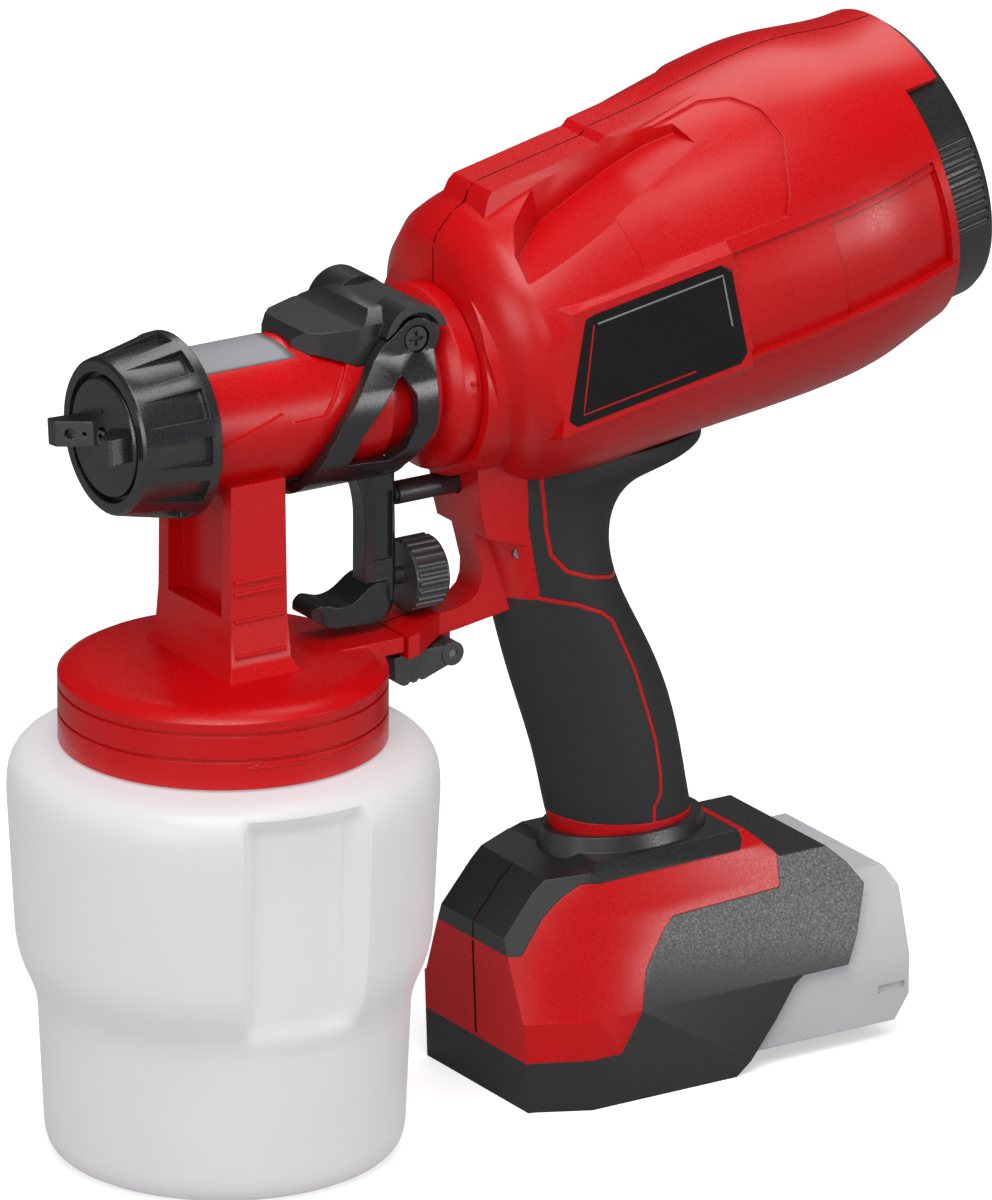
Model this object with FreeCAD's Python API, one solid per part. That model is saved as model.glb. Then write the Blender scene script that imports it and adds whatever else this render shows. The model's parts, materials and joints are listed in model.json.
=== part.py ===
import FreeCAD, Part
import math
import os

V = FreeCAD.Vector

# A cordless paint sprayer, in millimetres. The origin is the centre of the cup's foot, +Z is up
# and the nozzle points to -X. The model is built about the plane y = 0.

# ---- Fits ----
RUN = 0.3            # between faces that move past each other
PIN_FIT = 0.05       # radial play of a pin or shaft in its bore
FAR = 400.0          # longer than anything here, for cutting tools

# ---- Paint cup ----
CUP_WALL = 1.6
CUP_FOOT_R = 44.0
CUP_LOW_R = 52.15
CUP_LOW_TOP_R = 53.7
CUP_LOW_TOP_Z = 46.6
CUP_CONE_R = 59.4
CUP_CONE_Z = 63.5
CUP_WIDE_R = 62.0
CUP_WIDE_Z = 111.0
CUP_SHOULDER_Z = 122.0
CUP_NECK_R = 43.5
CUP_NECK_ROOT_Z = 124.2
CUP_RIM_Z = 141.0
CUP_THREAD_R = 44.6
CUP_THREAD_Z = (128.5, 132.5, 136.5)
THREAD_H = 1.4
WINDOW_ANGLE = 262.5
WINDOW_HALF_ANGLE = 17.0
WINDOW_R = 52.6
WINDOW_Z0 = 47.5
WINDOW_Z1 = 117.0
MARK_COUNT = 9
MARK_STEP = 7.2
MARK_RAISE = 0.35

# ---- Lid and neck of the spray head ----
LID_R = 47.2
LID_WALL = 2.2
LID_BOTTOM_Z = 125.0
LID_TOP_Z = 149.5
LID_EDGE_Z = 144.6
LID_CHAMFER_R = 42.6
LID_CHAMFER_Z = 147.6
LID_CEILING_Z = 143.3
LID_GROOVE_Z = (133.6, 141.3)
LID_GROOVE = 0.6
GASKET_T = 1.9
NECK_HALF_X = 9.0
NECK_HALF_Y = 19.5
NECK_FOOT_HALF_X = 12.0
NECK_FOOT_HALF_Y = 24.0
NECK_FOOT_Z = 148.0
NECK_WAIST_Z = 166.0
NECK_TOP_Z = 206.0
NECK_POCKET_HALF_Y = 14.6
NECK_POCKET_DEPTH = 5.1
NECK_POCKET_Z0 = 166.0
NECK_RIB_Z = (155.8, 166.0, 174.1, 177.7)
NECK_RIB = 0.6
CHANNEL_R = 3.0
ARM_X1 = 52.0
ARM_HALF_Y = 14.0
ARM_Z0 = 144.0
ARM_Z1 = 148.6

# ---- Barrel of the spray head ----
AXIS_Z = 221.0
BARREL_R = 20.5
BARREL_BORE_R = 13.5
BARREL_FRONT_X = -32.7
NUT_SHOULDER_X = -15.3
THREAD_R = 20.0
FAIRING_R = 21.8
HEAD_REAR_X = 70.0
FLANGE_R = 27.0
FLANGE_X0 = 64.5
FLANGE_CONE_R = 21.6
SPIGOT_R = 19.0
SPIGOT_X1 = 80.0
SEAL_X = 75.0
SEAL_HALF = 1.0
SEAL_DEPTH = 1.4
CORE_TUBE_R = 7.0
CORE_FRONT_X = -22.0
CORE_REAR_X = 30.0
WEB_T = 4.0
WEB_BACK = 1.6         # the lid arm's web stops short of the latch
AIR_HOLE_R = 2.3
AIR_HOLE_RING = 10.2
AIR_HOLES = 6
SPRING_SEAT_X = 54.0

# ---- Air cap, nut and fluid parts ----
CAP_FACE_X = -39.2
CAP_FACE_R = 17.3
CAP_FLANGE_R = 19.9
CAP_FLANGE_X0 = -36.4
CAP_FLANGE_X1 = -33.0
CAP_FRONT_WALL = 2.4
HORN_ROOT_Y = 5.0
HORN_TIP_Y = 12.6
HORN_OUT_Y = 17.4
HORN_TIP_X = -47.3
HORN_HEIGHT = 7.4
HORN_TURN = 5.0
HORN_HOLE_R = 1.5
HORN_SMALL_HOLE_R = 0.6
CAP_CENTRE_R = 3.1
NUT_FRONT_X = -39.0
NUT_LIP_R = 18.9
NUT_LIP_T = 2.2
NUT_FRONT_R = 22.6
NUT_WIDE_R = 26.7
NUT_BAND_X = -19.0
NUT_REAR_X = -15.6
NUT_POCKETS = 12
NUT_POCKET_HALF_ANGLE = 9.5
NUT_POCKET_DEEP = 2.2
TIP_R = 2.2
TIP_X = -39.9
NOZZLE_R = 9.0
NOZZLE_BORE_R = 1.25
NEEDLE_R = 1.0
NEEDLE_FRONT_X = -39.0
NEEDLE_REAR_X = 52.0
NEEDLE_COLLAR_R = 5.0
NEEDLE_COLLAR_X = 34.0
NEEDLE_COLLAR_T = 2.5
PACKING_R = 5.0
PACKING_X0 = 20.0
PACKING_X1 = 26.0
SPRING_R = 3.6
SPRING_WIRE_R = 0.5
SPRING_PITCH = 2.1
SPRING_TURNS = 6

# ---- Suction tube ----
TUBE_R = 4.0
TUBE_BORE_R = 2.9
TUBE_TOP_Z = 141.0
TUBE_BEND_Z = 60.0
TUBE_BEND_R = 24.0
TUBE_BEND_DEG = 28.0
TUBE_LEG = 36.0
SOCKET_R = 8.0
SOCKET_Z0 = 134.0

# ---- Trigger ----
PIVOT_X = 51.5
PIVOT_Z = 240.3
PIVOT_HEAD_R = 6.2
PIVOT_PIN_R = 2.0
PIVOT_PIN_Y = 12.4
PIVOT_SINK_R = 4.2
PIVOT_SINK = 1.9
FORK_IN_R = 22.7
FORK_OUT_R = 26.0
FORK_SPLIT_Z = 229.0
FORK_IN_Y = 18.1
FORK_OUT_Y = 21.6
STEM_X0 = 45.4
STEM_X1 = 55.7
STEM_HALF_Y = 5.2
FOOT_Z0 = 151.8
FOOT_Z1 = 157.6
FOOT_X0 = 25.5
FOOT_HALF_Y = 6.8
STEM_EASE = 2.0
KNOB_R = 10.8
KNOB_X0 = 59.0
KNOB_X1 = 70.0
KNOB_Z = 161.8
KNOB_RIDGES = 24
KNOB_RIDGE_R = 0.9
KNOB_SPINDLE_R = 2.5

# ---- Saddle over the barrel ----
SADDLE_HALF_Y = 17.6
HOOD_R = 10.2
HOOD_IN_R = 7.8
HOOD_Y1 = 21.8

# ---- Turbine housing: an axis that climbs to the rear ----
TILT = 12.5
AXIS_X0 = 59.0
NOSE_X = HEAD_REAR_X + RUN
NOSE_R = 30.0
NOSE_LEN = 12.0
HOUSING_WALL = 3.0
SIDE_END_T = 163.0
TONGUE_END_T = 174.5
TONGUE_HALF_ANGLE = 42.0
BAY_R = 34.0
BAY_T0 = 34.0
BAY_T1 = 95.0
REAR_BAY_T0 = 99.0
CREST_LOW_N = 22.0
CREST_LOW_HALF = 15.6
CREST_TOP_N = 50.0
CREST_TOP_HALF = 10.0
LABEL_T0 = 24.0
LABEL_T1 = 104.0
LABEL_Y0 = 40.9        # the label's plane leans outwards to the rear
LABEL_Y1 = 49.3
LABEL_DEPTH = 1.0
LABEL_PROUD = 0.2
LABEL_SLAB_DEPTH = 11.0
PANEL_T1 = 160.0
PANELS = ((89.0, 1.2, -15.0, 17.0), (121.0, 1.9, -15.0, 14.0))   # front, depth, bottom, top
FIELD_DEPTH = 0.8

# ---- Rear cover ----
COVER_R = 43.7
COVER_WALL = 2.2
COVER_T0 = 152.5
COVER_T1 = 178.4
COVER_GROOVES = 9
COVER_GROOVE_A0 = 67.0
COVER_GROOVE_STEP = 4.2
COVER_GROOVE_R = 1.1
COVER_SLOTS = 5
COVER_SLOT_PITCH = 11.0
COVER_SLOT_H = 3.4

# ---- Motor group ----
SHROUD_WALL = 2.4
SHROUD_T0 = 62.0
MOTOR_R = 20.0
MOTOR_T0 = 38.0
SHAFT_R = 2.5
IMPELLER_R = 30.0
IMPELLER_T = (68.0, 77.0, 86.0)
IMPELLER_THICK = 3.0
HUB_R = 8.0
FILTER_T = 7.0
FILTER_R = 45.6

# ---- Grip ----
GRIP_SKIN = 1.6
SEAM_LINE = 1.2
GRIP_SECTIONS = (
    (58.0, 117.0, 160.0, 15.5),
    (73.5, 112.3, 157.6, 15.5),
    (96.3, 106.7, 153.0, 16.0),
    (116.0, 100.4, 147.4, 16.0),
    (132.3, 95.3, 139.8, 16.0),
    (148.0, 91.0, 131.8, 16.0),
    (162.4, 86.0, 128.2, 16.0),
    (172.0, 82.0, 130.0, 16.0),
    (181.0, 79.0, 141.0, 16.6),
    (191.0, 78.0, 160.0, 17.5),
)
GUARD_HALF_Y = 6.0
GUARD_PAD_HALF_Y = 15.0
PLUNGER_R = 3.4
PLUNGER_Z = 187.0
PLUNGER_X1 = 81.0
PLUNGER_GAP = 0.8
PLUNGER_TRAVEL = 6.0
SWITCH_X0 = 82.0
SWITCH_X1 = 100.0
SWITCH_HALF_Y = 7.5
SWITCH_HALF_Z = 8.5

# ---- Latch under the guard ----
LATCH_X = 71.3
LATCH_Z = 138.6
LATCH_BOSS_R = 3.6
LATCH_HALF_Y = 9.3
LATCH_LUG_HALF_Y = 2.6
LATCH_LUG_R = 3.4
LATCH_PIN_R = 1.3

# ---- Battery dock ----
DOCK_FRONT_X = 86.0
DOCK_HALF_Y = 35.3
DOCK_CREASE_Z = 27.5
DOCK_FLOOR = 5.2
DOCK_CAVITY_X = 112.0
DOCK_TOP_Z = 70.0
BOARD_T = 1.6
BATTERY_X1 = 214.7
BATTERY_HALF_Y = 33.0
BATTERY_TOP_Z = 52.0
BUTTON_HALF_Y = 9.0
BUTTON_Z0 = 20.0
BUTTON_Z1 = 34.0
BUTTON_T = 5.0
BUTTON_PROUD = 2.5

# ---- Screws that close the halves ----
SCREW_R = 1.7
SCREW_HEAD_R = 3.2
SCREW_HEAD_T = 2.4
SCREW_LEN = 18.0
SCREW_SINK = 3.0
SCREWS = ((92.0, 166.0, 11.6), (112.0, 136.0, 15.6), (131.0, 92.0, 15.8), (150.0, 58.6, 26.2))


# ---- Shape helpers ----
def box(x0, x1, y0, y1, z0, z1):
    return Part.makeBox(x1 - x0, y1 - y0, z1 - z0, V(x0, y0, z0))


def rod_x(r, x0, x1, y=0.0, z=AXIS_Z):
    return Part.makeCylinder(r, x1 - x0, V(x0, y, z), V(1, 0, 0))


def rod_y(r, y0, y1, x, z):
    return Part.makeCylinder(r, y1 - y0, V(x, y0, z), V(0, 1, 0))


def rod_z(r, z0, z1, x=0.0, y=0.0):
    return Part.makeCylinder(r, z1 - z0, V(x, y, z0), V(0, 0, 1))


def pipe_x(r_out, r_in, x0, x1, z=AXIS_Z):
    return rod_x(r_out, x0, x1, 0.0, z).cut(rod_x(r_in, x0 - 1, x1 + 1, 0.0, z))


def closed_face(points):
    return Part.Face(Part.makePolygon(points + [points[0]]))


def side_prism(outline, y0, y1):
    """Outline in (x, z), carried from y0 to y1."""
    return closed_face([V(x, y0, z) for x, z in outline]).extrude(V(0, y1 - y0, 0))


def plan_prism(outline, z0, z1):
    """Outline in (x, y), carried from z0 to z1."""
    return closed_face([V(x, y, z0) for x, y in outline]).extrude(V(0, 0, z1 - z0))


def front_prism(outline, x0, x1):
    """Outline in (y, z), carried from x0 to x1."""
    return closed_face([V(x0, y, z) for y, z in outline]).extrude(V(x1 - x0, 0, 0))


def turned_z(profile):
    face = closed_face([V(r, 0, z) for r, z in profile])
    return face.revolve(V(0, 0, 0), V(0, 0, 1), 360)


def turned_x(profile):
    """Profile of (x, radius) turned about the X axis through the origin."""
    face = closed_face([V(x, 0, r) for x, r in profile])
    return face.revolve(V(0, 0, 0), V(1, 0, 0), 360)


def on_barrel(shape):
    shape.translate(V(0, 0, AXIS_Z))
    return shape


def tilted(shape):
    """Moves a shape from the turbine's own frame (t, y, n) to its place."""
    shape.rotate(V(0, 0, 0), V(0, 1, 0), -TILT)
    shape.translate(V(AXIS_X0, 0, AXIS_Z))
    return shape


def mirrored(shape):
    return shape.mirror(V(0, 0, 0), V(0, 1, 0))


def both_sides(shape):
    return shape.fuse(mirrored(shape))


def beyond_plane(p, q, r, away_from):
    """A large block on the side of the plane p, q, r that faces away from a point."""
    normal = (q - p).cross(r - p)
    normal.normalize()
    if normal.dot(away_from - p) > 0:
        normal = normal * -1.0
    block = Part.makeBox(FAR, FAR, FAR, V(-FAR / 2, -FAR / 2, 0))
    block.Placement = FreeCAD.Placement(p, FreeCAD.Rotation(V(0, 0, 1), normal)).multiply(block.Placement)
    return block


def fused(shapes):
    if len(shapes) == 1:
        return shapes[0]
    return shapes[0].multiFuse(shapes[1:])


def line_band(points, width):
    """A thin wall that follows a line in (x, z), right through in y."""
    pieces = []
    for (x0, z0), (x1, z1) in zip(points, points[1:]):
        length = math.hypot(x1 - x0, z1 - z0)
        wall = box(0, length, -FAR / 2, FAR / 2, -width / 2, width / 2)
        wall.rotate(V(0, 0, 0), V(0, 1, 0), -math.degrees(math.atan2(z1 - z0, x1 - x0)))
        wall.translate(V(x0, 0, z0))
        pieces.append(wall)
        pieces.append(rod_y(width / 2, -FAR / 2, FAR / 2, x1, z1))
    return fused(pieces)


# ---- Cup ----
def cup_sector(inset, r0, r1, z0, z1):
    half = WINDOW_HALF_ANGLE + math.degrees(inset / WINDOW_R)
    face = closed_face([V(r0, 0, z0), V(r1, 0, z0), V(r1, 0, z1), V(r0, 0, z1)])
    sector = face.revolve(V(0, 0, 0), V(0, 0, 1), 2 * half)
    sector.rotate(V(0, 0, 0), V(0, 0, 1), WINDOW_ANGLE - half)
    return sector


def cup_form(inset, top_z):
    """The cup's outer form, drawn in by a wall."""
    form = turned_z([
        (0, inset), (CUP_FOOT_R, inset), (CUP_FOOT_R + 5.6 - inset / 2, 2.6 + inset / 2),
        (CUP_LOW_R - inset, 9), (CUP_LOW_TOP_R - inset, CUP_LOW_TOP_Z), (CUP_CONE_R - inset, CUP_CONE_Z),
        (CUP_WIDE_R - inset, CUP_WIDE_Z), (CUP_WIDE_R - 1.2 - inset, CUP_WIDE_Z + 6),
        (CUP_WIDE_R - 4.3 - inset, CUP_SHOULDER_Z - inset), (CUP_NECK_R + 4.2 - inset, CUP_NECK_ROOT_Z - inset),
        (CUP_NECK_R - inset, CUP_NECK_ROOT_Z + 0.8), (CUP_NECK_R - inset, top_z), (0, top_z),
    ])
    return form.cut(cup_sector(inset, WINDOW_R - inset, FAR, WINDOW_Z0 - inset, WINDOW_Z1 + inset))


def make_cup():
    cup = cup_form(0, CUP_RIM_Z)
    for z in CUP_THREAD_Z:
        ring = turned_z([(CUP_NECK_R - 0.5, z), (CUP_THREAD_R, z + 0.4), (CUP_THREAD_R, z + THREAD_H - 0.4),
                         (CUP_NECK_R - 0.5, z + THREAD_H)])
        cup = cup.fuse(ring)
    cup = cup.cut(cup_form(CUP_WALL, CUP_RIM_Z + 5))
    for i in range(MARK_COUNT):
        half = 4.5 if i % 2 else 7.0
        z = WINDOW_Z0 + 5 + i * MARK_STEP
        face = closed_face([V(WINDOW_R - 0.6, 0, z), V(WINDOW_R + MARK_RAISE, 0, z),
                            V(WINDOW_R + MARK_RAISE, 0, z + 0.8), V(WINDOW_R - 0.6, 0, z + 0.8)])
        mark = face.revolve(V(0, 0, 0), V(0, 0, 1), half)
        mark.rotate(V(0, 0, 0), V(0, 0, 1), WINDOW_ANGLE + 1)
        cup = cup.fuse(mark)
    return cup.removeSplitter()


def make_suction_tube():
    """A straight tube from the lid's socket, bent towards the front near the bottom."""
    bend = math.radians(TUBE_BEND_DEG)
    centre = V(-TUBE_BEND_R, 0, TUBE_BEND_Z)
    mid = centre + V(math.cos(bend / 2), 0, -math.sin(bend / 2)) * TUBE_BEND_R
    end = centre + V(math.cos(bend), 0, -math.sin(bend)) * TUBE_BEND_R
    tip = end + V(-math.sin(bend), 0, -math.cos(bend)) * TUBE_LEG
    path = Part.Wire([
        Part.LineSegment(V(0, 0, TUBE_TOP_Z), V(0, 0, TUBE_BEND_Z)).toShape(),
        Part.Arc(V(0, 0, TUBE_BEND_Z), mid, end).toShape(),
        Part.LineSegment(end, tip).toShape(),
    ])
    solids = []
    for r in (TUBE_R, TUBE_BORE_R):
        ring = Part.Wire(Part.makeCircle(r, V(0, 0, TUBE_TOP_Z), V(0, 0, -1)))
        solids.append(path.makePipeShell([ring], True, False))
    return solids[0].cut(solids[1])


# ---- Spray head ----
def lid():
    inner_r = LID_R - LID_WALL
    cap = turned_z([
        (0, LID_CEILING_Z), (inner_r, LID_CEILING_Z), (inner_r, LID_BOTTOM_Z), (LID_R, LID_BOTTOM_Z),
        (LID_R, LID_EDGE_Z), (LID_R - 1.2, LID_EDGE_Z + 1.2), (LID_CHAMFER_R, LID_CHAMFER_Z),
        (LID_CHAMFER_R - 14, LID_TOP_Z - 0.7), (0, LID_TOP_Z),
    ])
    for z in LID_GROOVE_Z:
        groove = turned_z([(LID_R - LID_GROOVE, z - 0.5), (LID_R + 1, z - 0.5), (LID_R + 1, z + 0.5),
                           (LID_R - LID_GROOVE, z + 0.5)])
        cap = cap.cut(groove)
    return cap.fuse(rod_z(SOCKET_R, SOCKET_Z0, LID_TOP_Z - 1))


def rectangle_wire(half_x, half_y, z):
    corners = [V(-half_x, -half_y, z), V(half_x, -half_y, z), V(half_x, half_y, z), V(-half_x, half_y, z)]
    return Part.makePolygon(corners + [corners[0]])


def neck():
    foot = Part.makeLoft([
        rectangle_wire(NECK_FOOT_HALF_X, NECK_FOOT_HALF_Y, NECK_FOOT_Z),
        rectangle_wire(NECK_HALF_X + 0.9, NECK_HALF_Y + 1.4, NECK_FOOT_Z + 5),
        rectangle_wire(NECK_HALF_X + 0.3, NECK_HALF_Y + 0.4, NECK_WAIST_Z),
        rectangle_wire(NECK_HALF_X, NECK_HALF_Y, NECK_TOP_Z),
    ], True, True)
    pocket = box(-FAR, NECK_POCKET_DEPTH - NECK_HALF_X, -NECK_POCKET_HALF_Y, NECK_POCKET_HALF_Y,
                 NECK_POCKET_Z0, NECK_TOP_Z - 4)
    rear_pocket = box(NECK_HALF_X - NECK_POCKET_DEPTH, FAR, -NECK_POCKET_HALF_Y, NECK_POCKET_HALF_Y,
                      NECK_POCKET_Z0, NECK_TOP_Z - 8)
    stem = foot.cut(pocket).cut(rear_pocket)
    ribs = []
    for z in NECK_RIB_Z:
        half = NECK_HALF_Y + NECK_RIB + (1.2 if z < NECK_WAIST_Z - 5 else 0.3)
        ribs.append(box(-NECK_HALF_X + 0.8, NECK_HALF_X - 0.8, -half, half, z - 0.6, z + 0.6))
    solid_core = [rib.common(box(-FAR, FAR, -FAR, -NECK_POCKET_HALF_Y - 1, 0, FAR)) for rib in ribs]
    solid_core += [mirrored(piece) for piece in solid_core]
    return stem.multiFuse(solid_core)


def barrel():
    tube = rod_x(BARREL_R, NUT_SHOULDER_X, FLANGE_X0 + 1)
    thread = rod_x(THREAD_R, BARREL_FRONT_X, NUT_SHOULDER_X + 1)
    flange = on_barrel(turned_x([(50, 0), (50, BARREL_R), (60, FLANGE_CONE_R), (63.5, FLANGE_R - 0.8),
                                 (FLANGE_X0, FLANGE_R), (HEAD_REAR_X, FLANGE_R), (HEAD_REAR_X, 0)]))
    spigot = rod_x(SPIGOT_R, HEAD_REAR_X - 1, SPIGOT_X1)
    groove = pipe_x(SPIGOT_R + 1, SPIGOT_R - SEAL_DEPTH, SEAL_X - SEAL_HALF, SEAL_X + SEAL_HALF)
    fairing = rod_x(FAIRING_R, NUT_SHOULDER_X, 44).common(side_prism([
        (NUT_SHOULDER_X, AXIS_Z - 30), (NUT_SHOULDER_X, AXIS_Z - 3), (7.6, AXIS_Z + 4.6),
        (11.4, AXIS_Z + 1.5), (22, AXIS_Z + 1.6), (33.5, AXIS_Z + 17), (44, AXIS_Z + 17), (44, AXIS_Z - 30),
    ], -FAR / 2, FAR / 2))
    marks = [rod_y(0.7, -FLANGE_R - 0.3, -FLANGE_R + 2, HEAD_REAR_X - 2.6, AXIS_Z + dz) for dz in (1.5, 4.5)]
    outside = fused([tube, thread, flange, spigot, fairing] + marks)
    return outside.cut(groove)


def head_core():
    """Fluid tube on the barrel's axis, with the two webs that carry it and pass the air."""
    tube = rod_x(CORE_TUBE_R, CORE_FRONT_X, CORE_REAR_X)
    web = rod_x(BARREL_BORE_R + 1, CORE_REAR_X - WEB_T, CORE_REAR_X)
    seat = rod_x(BARREL_BORE_R + 1, SPRING_SEAT_X, SPRING_SEAT_X + WEB_T)
    riser = rod_z(CHANNEL_R + 2.2, AXIS_Z - BARREL_BORE_R - 2, AXIS_Z)
    core = fused([tube, web, seat, riser])
    for i in range(AIR_HOLES):
        a = math.radians(30 + i * 360.0 / AIR_HOLES)
        y = AIR_HOLE_RING * math.cos(a)
        z = AXIS_Z + AIR_HOLE_RING * math.sin(a)
        core = core.cut(rod_x(AIR_HOLE_R, CORE_REAR_X - WEB_T - 1, SPRING_SEAT_X + WEB_T + 1, y, z))
    core = core.cut(rod_x(CHANNEL_R, CORE_FRONT_X - 1, PACKING_X0 - 6))
    core = core.cut(rod_x(NEEDLE_R + RUN, CORE_FRONT_X, SPRING_SEAT_X + WEB_T + 1))
    return core.cut(rod_x(PACKING_R, PACKING_X0, CORE_REAR_X + 1))


def make_head_body():
    arm = box(NECK_HALF_X, ARM_X1, -ARM_HALF_Y, ARM_HALF_Y, ARM_Z0, ARM_Z1)
    arm = arm.cut(rod_z(LID_R - LID_WALL + 0.1, 0, LID_CEILING_Z + 1))
    web = box(18, ARM_X1 - WEB_BACK, -2, 2, LID_BOTTOM_Z + 12, ARM_Z1).cut(rod_z(LID_R - 1, 0, FAR))
    shell = fused([barrel(), neck(), lid(), arm, web])
    shell = shell.cut(rod_x(BARREL_BORE_R, BARREL_FRONT_X - 1, SPIGOT_X1 + 1))
    head = shell.fuse(head_core())
    head = head.cut(rod_z(TUBE_R + PIN_FIT, SOCKET_Z0 - 1, TUBE_TOP_Z + RUN))
    return head.cut(rod_z(CHANNEL_R, TUBE_TOP_Z, AXIS_Z)).removeSplitter()


def make_cup_gasket():
    top = LID_CEILING_Z
    inner_r = CUP_NECK_R - CUP_WALL - 1.5
    return turned_z([(inner_r, top - GASKET_T), (LID_R - LID_WALL - 0.3, top - GASKET_T),
                     (LID_R - LID_WALL - 0.3, top), (inner_r, top)])


def make_head_seal():
    inner = SPIGOT_R - SEAL_DEPTH
    return on_barrel(turned_x([
        (SEAL_X - SEAL_HALF, inner), (SEAL_X - SEAL_HALF, inner + 1), (SEAL_X - 0.4, SPIGOT_R + 0.15),
        (SEAL_X + 0.4, SPIGOT_R + 0.15), (SEAL_X + SEAL_HALF, inner + 1), (SEAL_X + SEAL_HALF, inner),
    ]))


def make_fluid_nozzle():
    body = on_barrel(turned_x([
        (CORE_FRONT_X, 0), (CORE_FRONT_X, NOZZLE_R), (CORE_FRONT_X - 8, NOZZLE_R), (CORE_FRONT_X - 12, 4.6),
        (TIP_X + 2.4, TIP_R), (TIP_X, TIP_R), (TIP_X, 0),
    ]))
    body = body.cut(rod_x(NOZZLE_BORE_R, TIP_X - 1, CORE_FRONT_X + 1))
    return body.cut(rod_x(CHANNEL_R, CORE_FRONT_X - 9, CORE_FRONT_X + 1))


def make_needle_packing():
    return pipe_x(PACKING_R, NEEDLE_R + PIN_FIT, PACKING_X0, PACKING_X1)


def make_needle():
    shaft = on_barrel(turned_x([(NEEDLE_FRONT_X, 0), (NEEDLE_FRONT_X + 3, NEEDLE_R), (NEEDLE_REAR_X, NEEDLE_R),
                                (NEEDLE_REAR_X, 0)]))
    return shaft.fuse(rod_x(NEEDLE_COLLAR_R, NEEDLE_COLLAR_X, NEEDLE_COLLAR_X + NEEDLE_COLLAR_T))


def make_needle_spring():
    """Open coil that sits behind the needle's collar."""
    height = SPRING_PITCH * SPRING_TURNS
    helix = Part.makeHelix(SPRING_PITCH, height, SPRING_R)
    ring = Part.Wire(Part.makeCircle(SPRING_WIRE_R, V(SPRING_R, 0, 0), V(0, 1, 0)))
    coil = Part.Wire(helix).makePipeShell([ring], True, True)
    coil.rotate(V(0, 0, 0), V(0, 1, 0), 90)
    coil.translate(V(NEEDLE_COLLAR_X + NEEDLE_COLLAR_T + SPRING_WIRE_R + 0.1, 0, AXIS_Z))
    print("needle spring: least gap between turns", round(SPRING_PITCH - 2 * SPRING_WIRE_R, 2))
    return coil


def make_air_cap():
    disc = on_barrel(turned_x([
        (CAP_FACE_X, 0), (CAP_FACE_X, CAP_FACE_R - 0.6), (CAP_FACE_X + 0.6, CAP_FACE_R), (CAP_FLANGE_X0, CAP_FACE_R),
        (CAP_FLANGE_X0, CAP_FLANGE_R), (CAP_FLANGE_X1, CAP_FLANGE_R), (CAP_FLANGE_X1, 0),
    ]))
    disc = disc.cut(rod_x(BARREL_BORE_R + 0.5, CAP_FACE_X + CAP_FRONT_WALL, CAP_FLANGE_X1 + 1))
    horn = plan_prism([(CAP_FACE_X + 1.2, HORN_ROOT_Y - 1.1), (HORN_TIP_X, HORN_TIP_Y), (HORN_TIP_X, HORN_OUT_Y - 0.8),
                       (HORN_TIP_X + 0.8, HORN_OUT_Y), (CAP_FACE_X + 1.2, HORN_OUT_Y - 1.2)],
                      AXIS_Z - HORN_HEIGHT / 2, AXIS_Z + HORN_HEIGHT / 2)
    slope = math.atan2(HORN_TIP_Y - HORN_ROOT_Y, CAP_FACE_X - HORN_TIP_X)
    jet = V(-math.sin(slope), -math.cos(slope), 0)
    for share, r in ((0.62, HORN_HOLE_R), (0.24, HORN_SMALL_HOLE_R)):
        start = V(CAP_FACE_X + share * (HORN_TIP_X - CAP_FACE_X), HORN_ROOT_Y + share * (HORN_TIP_Y - HORN_ROOT_Y),
                  AXIS_Z)
        horn = horn.cut(Part.makeCylinder(r, 5, start - jet * 3, jet))
    cap = disc.fuse(horn).fuse(mirrored(horn))
    cap = cap.cut(rod_x(CAP_CENTRE_R, CAP_FACE_X - 1, CAP_FLANGE_X1))
    for z in (AXIS_Z - 7.5, AXIS_Z + 7.5):
        cap = cap.cut(rod_x(0.7, CAP_FACE_X - 1, CAP_FLANGE_X1, 0, z))
    cap.rotate(V(0, 0, AXIS_Z), V(1, 0, 0), -HORN_TURN)
    return cap


def make_union_nut():
    nut = on_barrel(turned_x([
        (NUT_FRONT_X, NUT_LIP_R), (NUT_FRONT_X, NUT_FRONT_R - 0.8), (NUT_FRONT_X + 0.8, NUT_FRONT_R),
        (NUT_BAND_X, NUT_WIDE_R), (NUT_REAR_X - 0.6, NUT_WIDE_R + 0.2), (NUT_REAR_X, NUT_WIDE_R - 0.4),
        (NUT_REAR_X, THREAD_R + RUN), (NUT_FRONT_X + NUT_LIP_T, THREAD_R + RUN), (NUT_FRONT_X + NUT_LIP_T, NUT_LIP_R),
    ]))
    x0 = NUT_FRONT_X + 1.6
    face = closed_face([V(x0, 0, NUT_FRONT_R + 0.3), V(NUT_BAND_X, 0, NUT_WIDE_R - NUT_POCKET_DEEP),
                        V(NUT_BAND_X, 0, NUT_WIDE_R + 3), V(x0, 0, NUT_WIDE_R + 3)])
    pocket = face.revolve(V(0, 0, 0), V(1, 0, 0), 2 * NUT_POCKET_HALF_ANGLE)
    pocket.rotate(V(0, 0, 0), V(1, 0, 0), -NUT_POCKET_HALF_ANGLE)
    pocket = on_barrel(pocket)
    step = 360.0 / NUT_POCKETS
    for i in range(NUT_POCKETS):
        tool = pocket.copy()
        tool.rotate(V(0, 0, AXIS_Z), V(1, 0, 0), i * step)
        nut = nut.cut(tool)
    return nut


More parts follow.
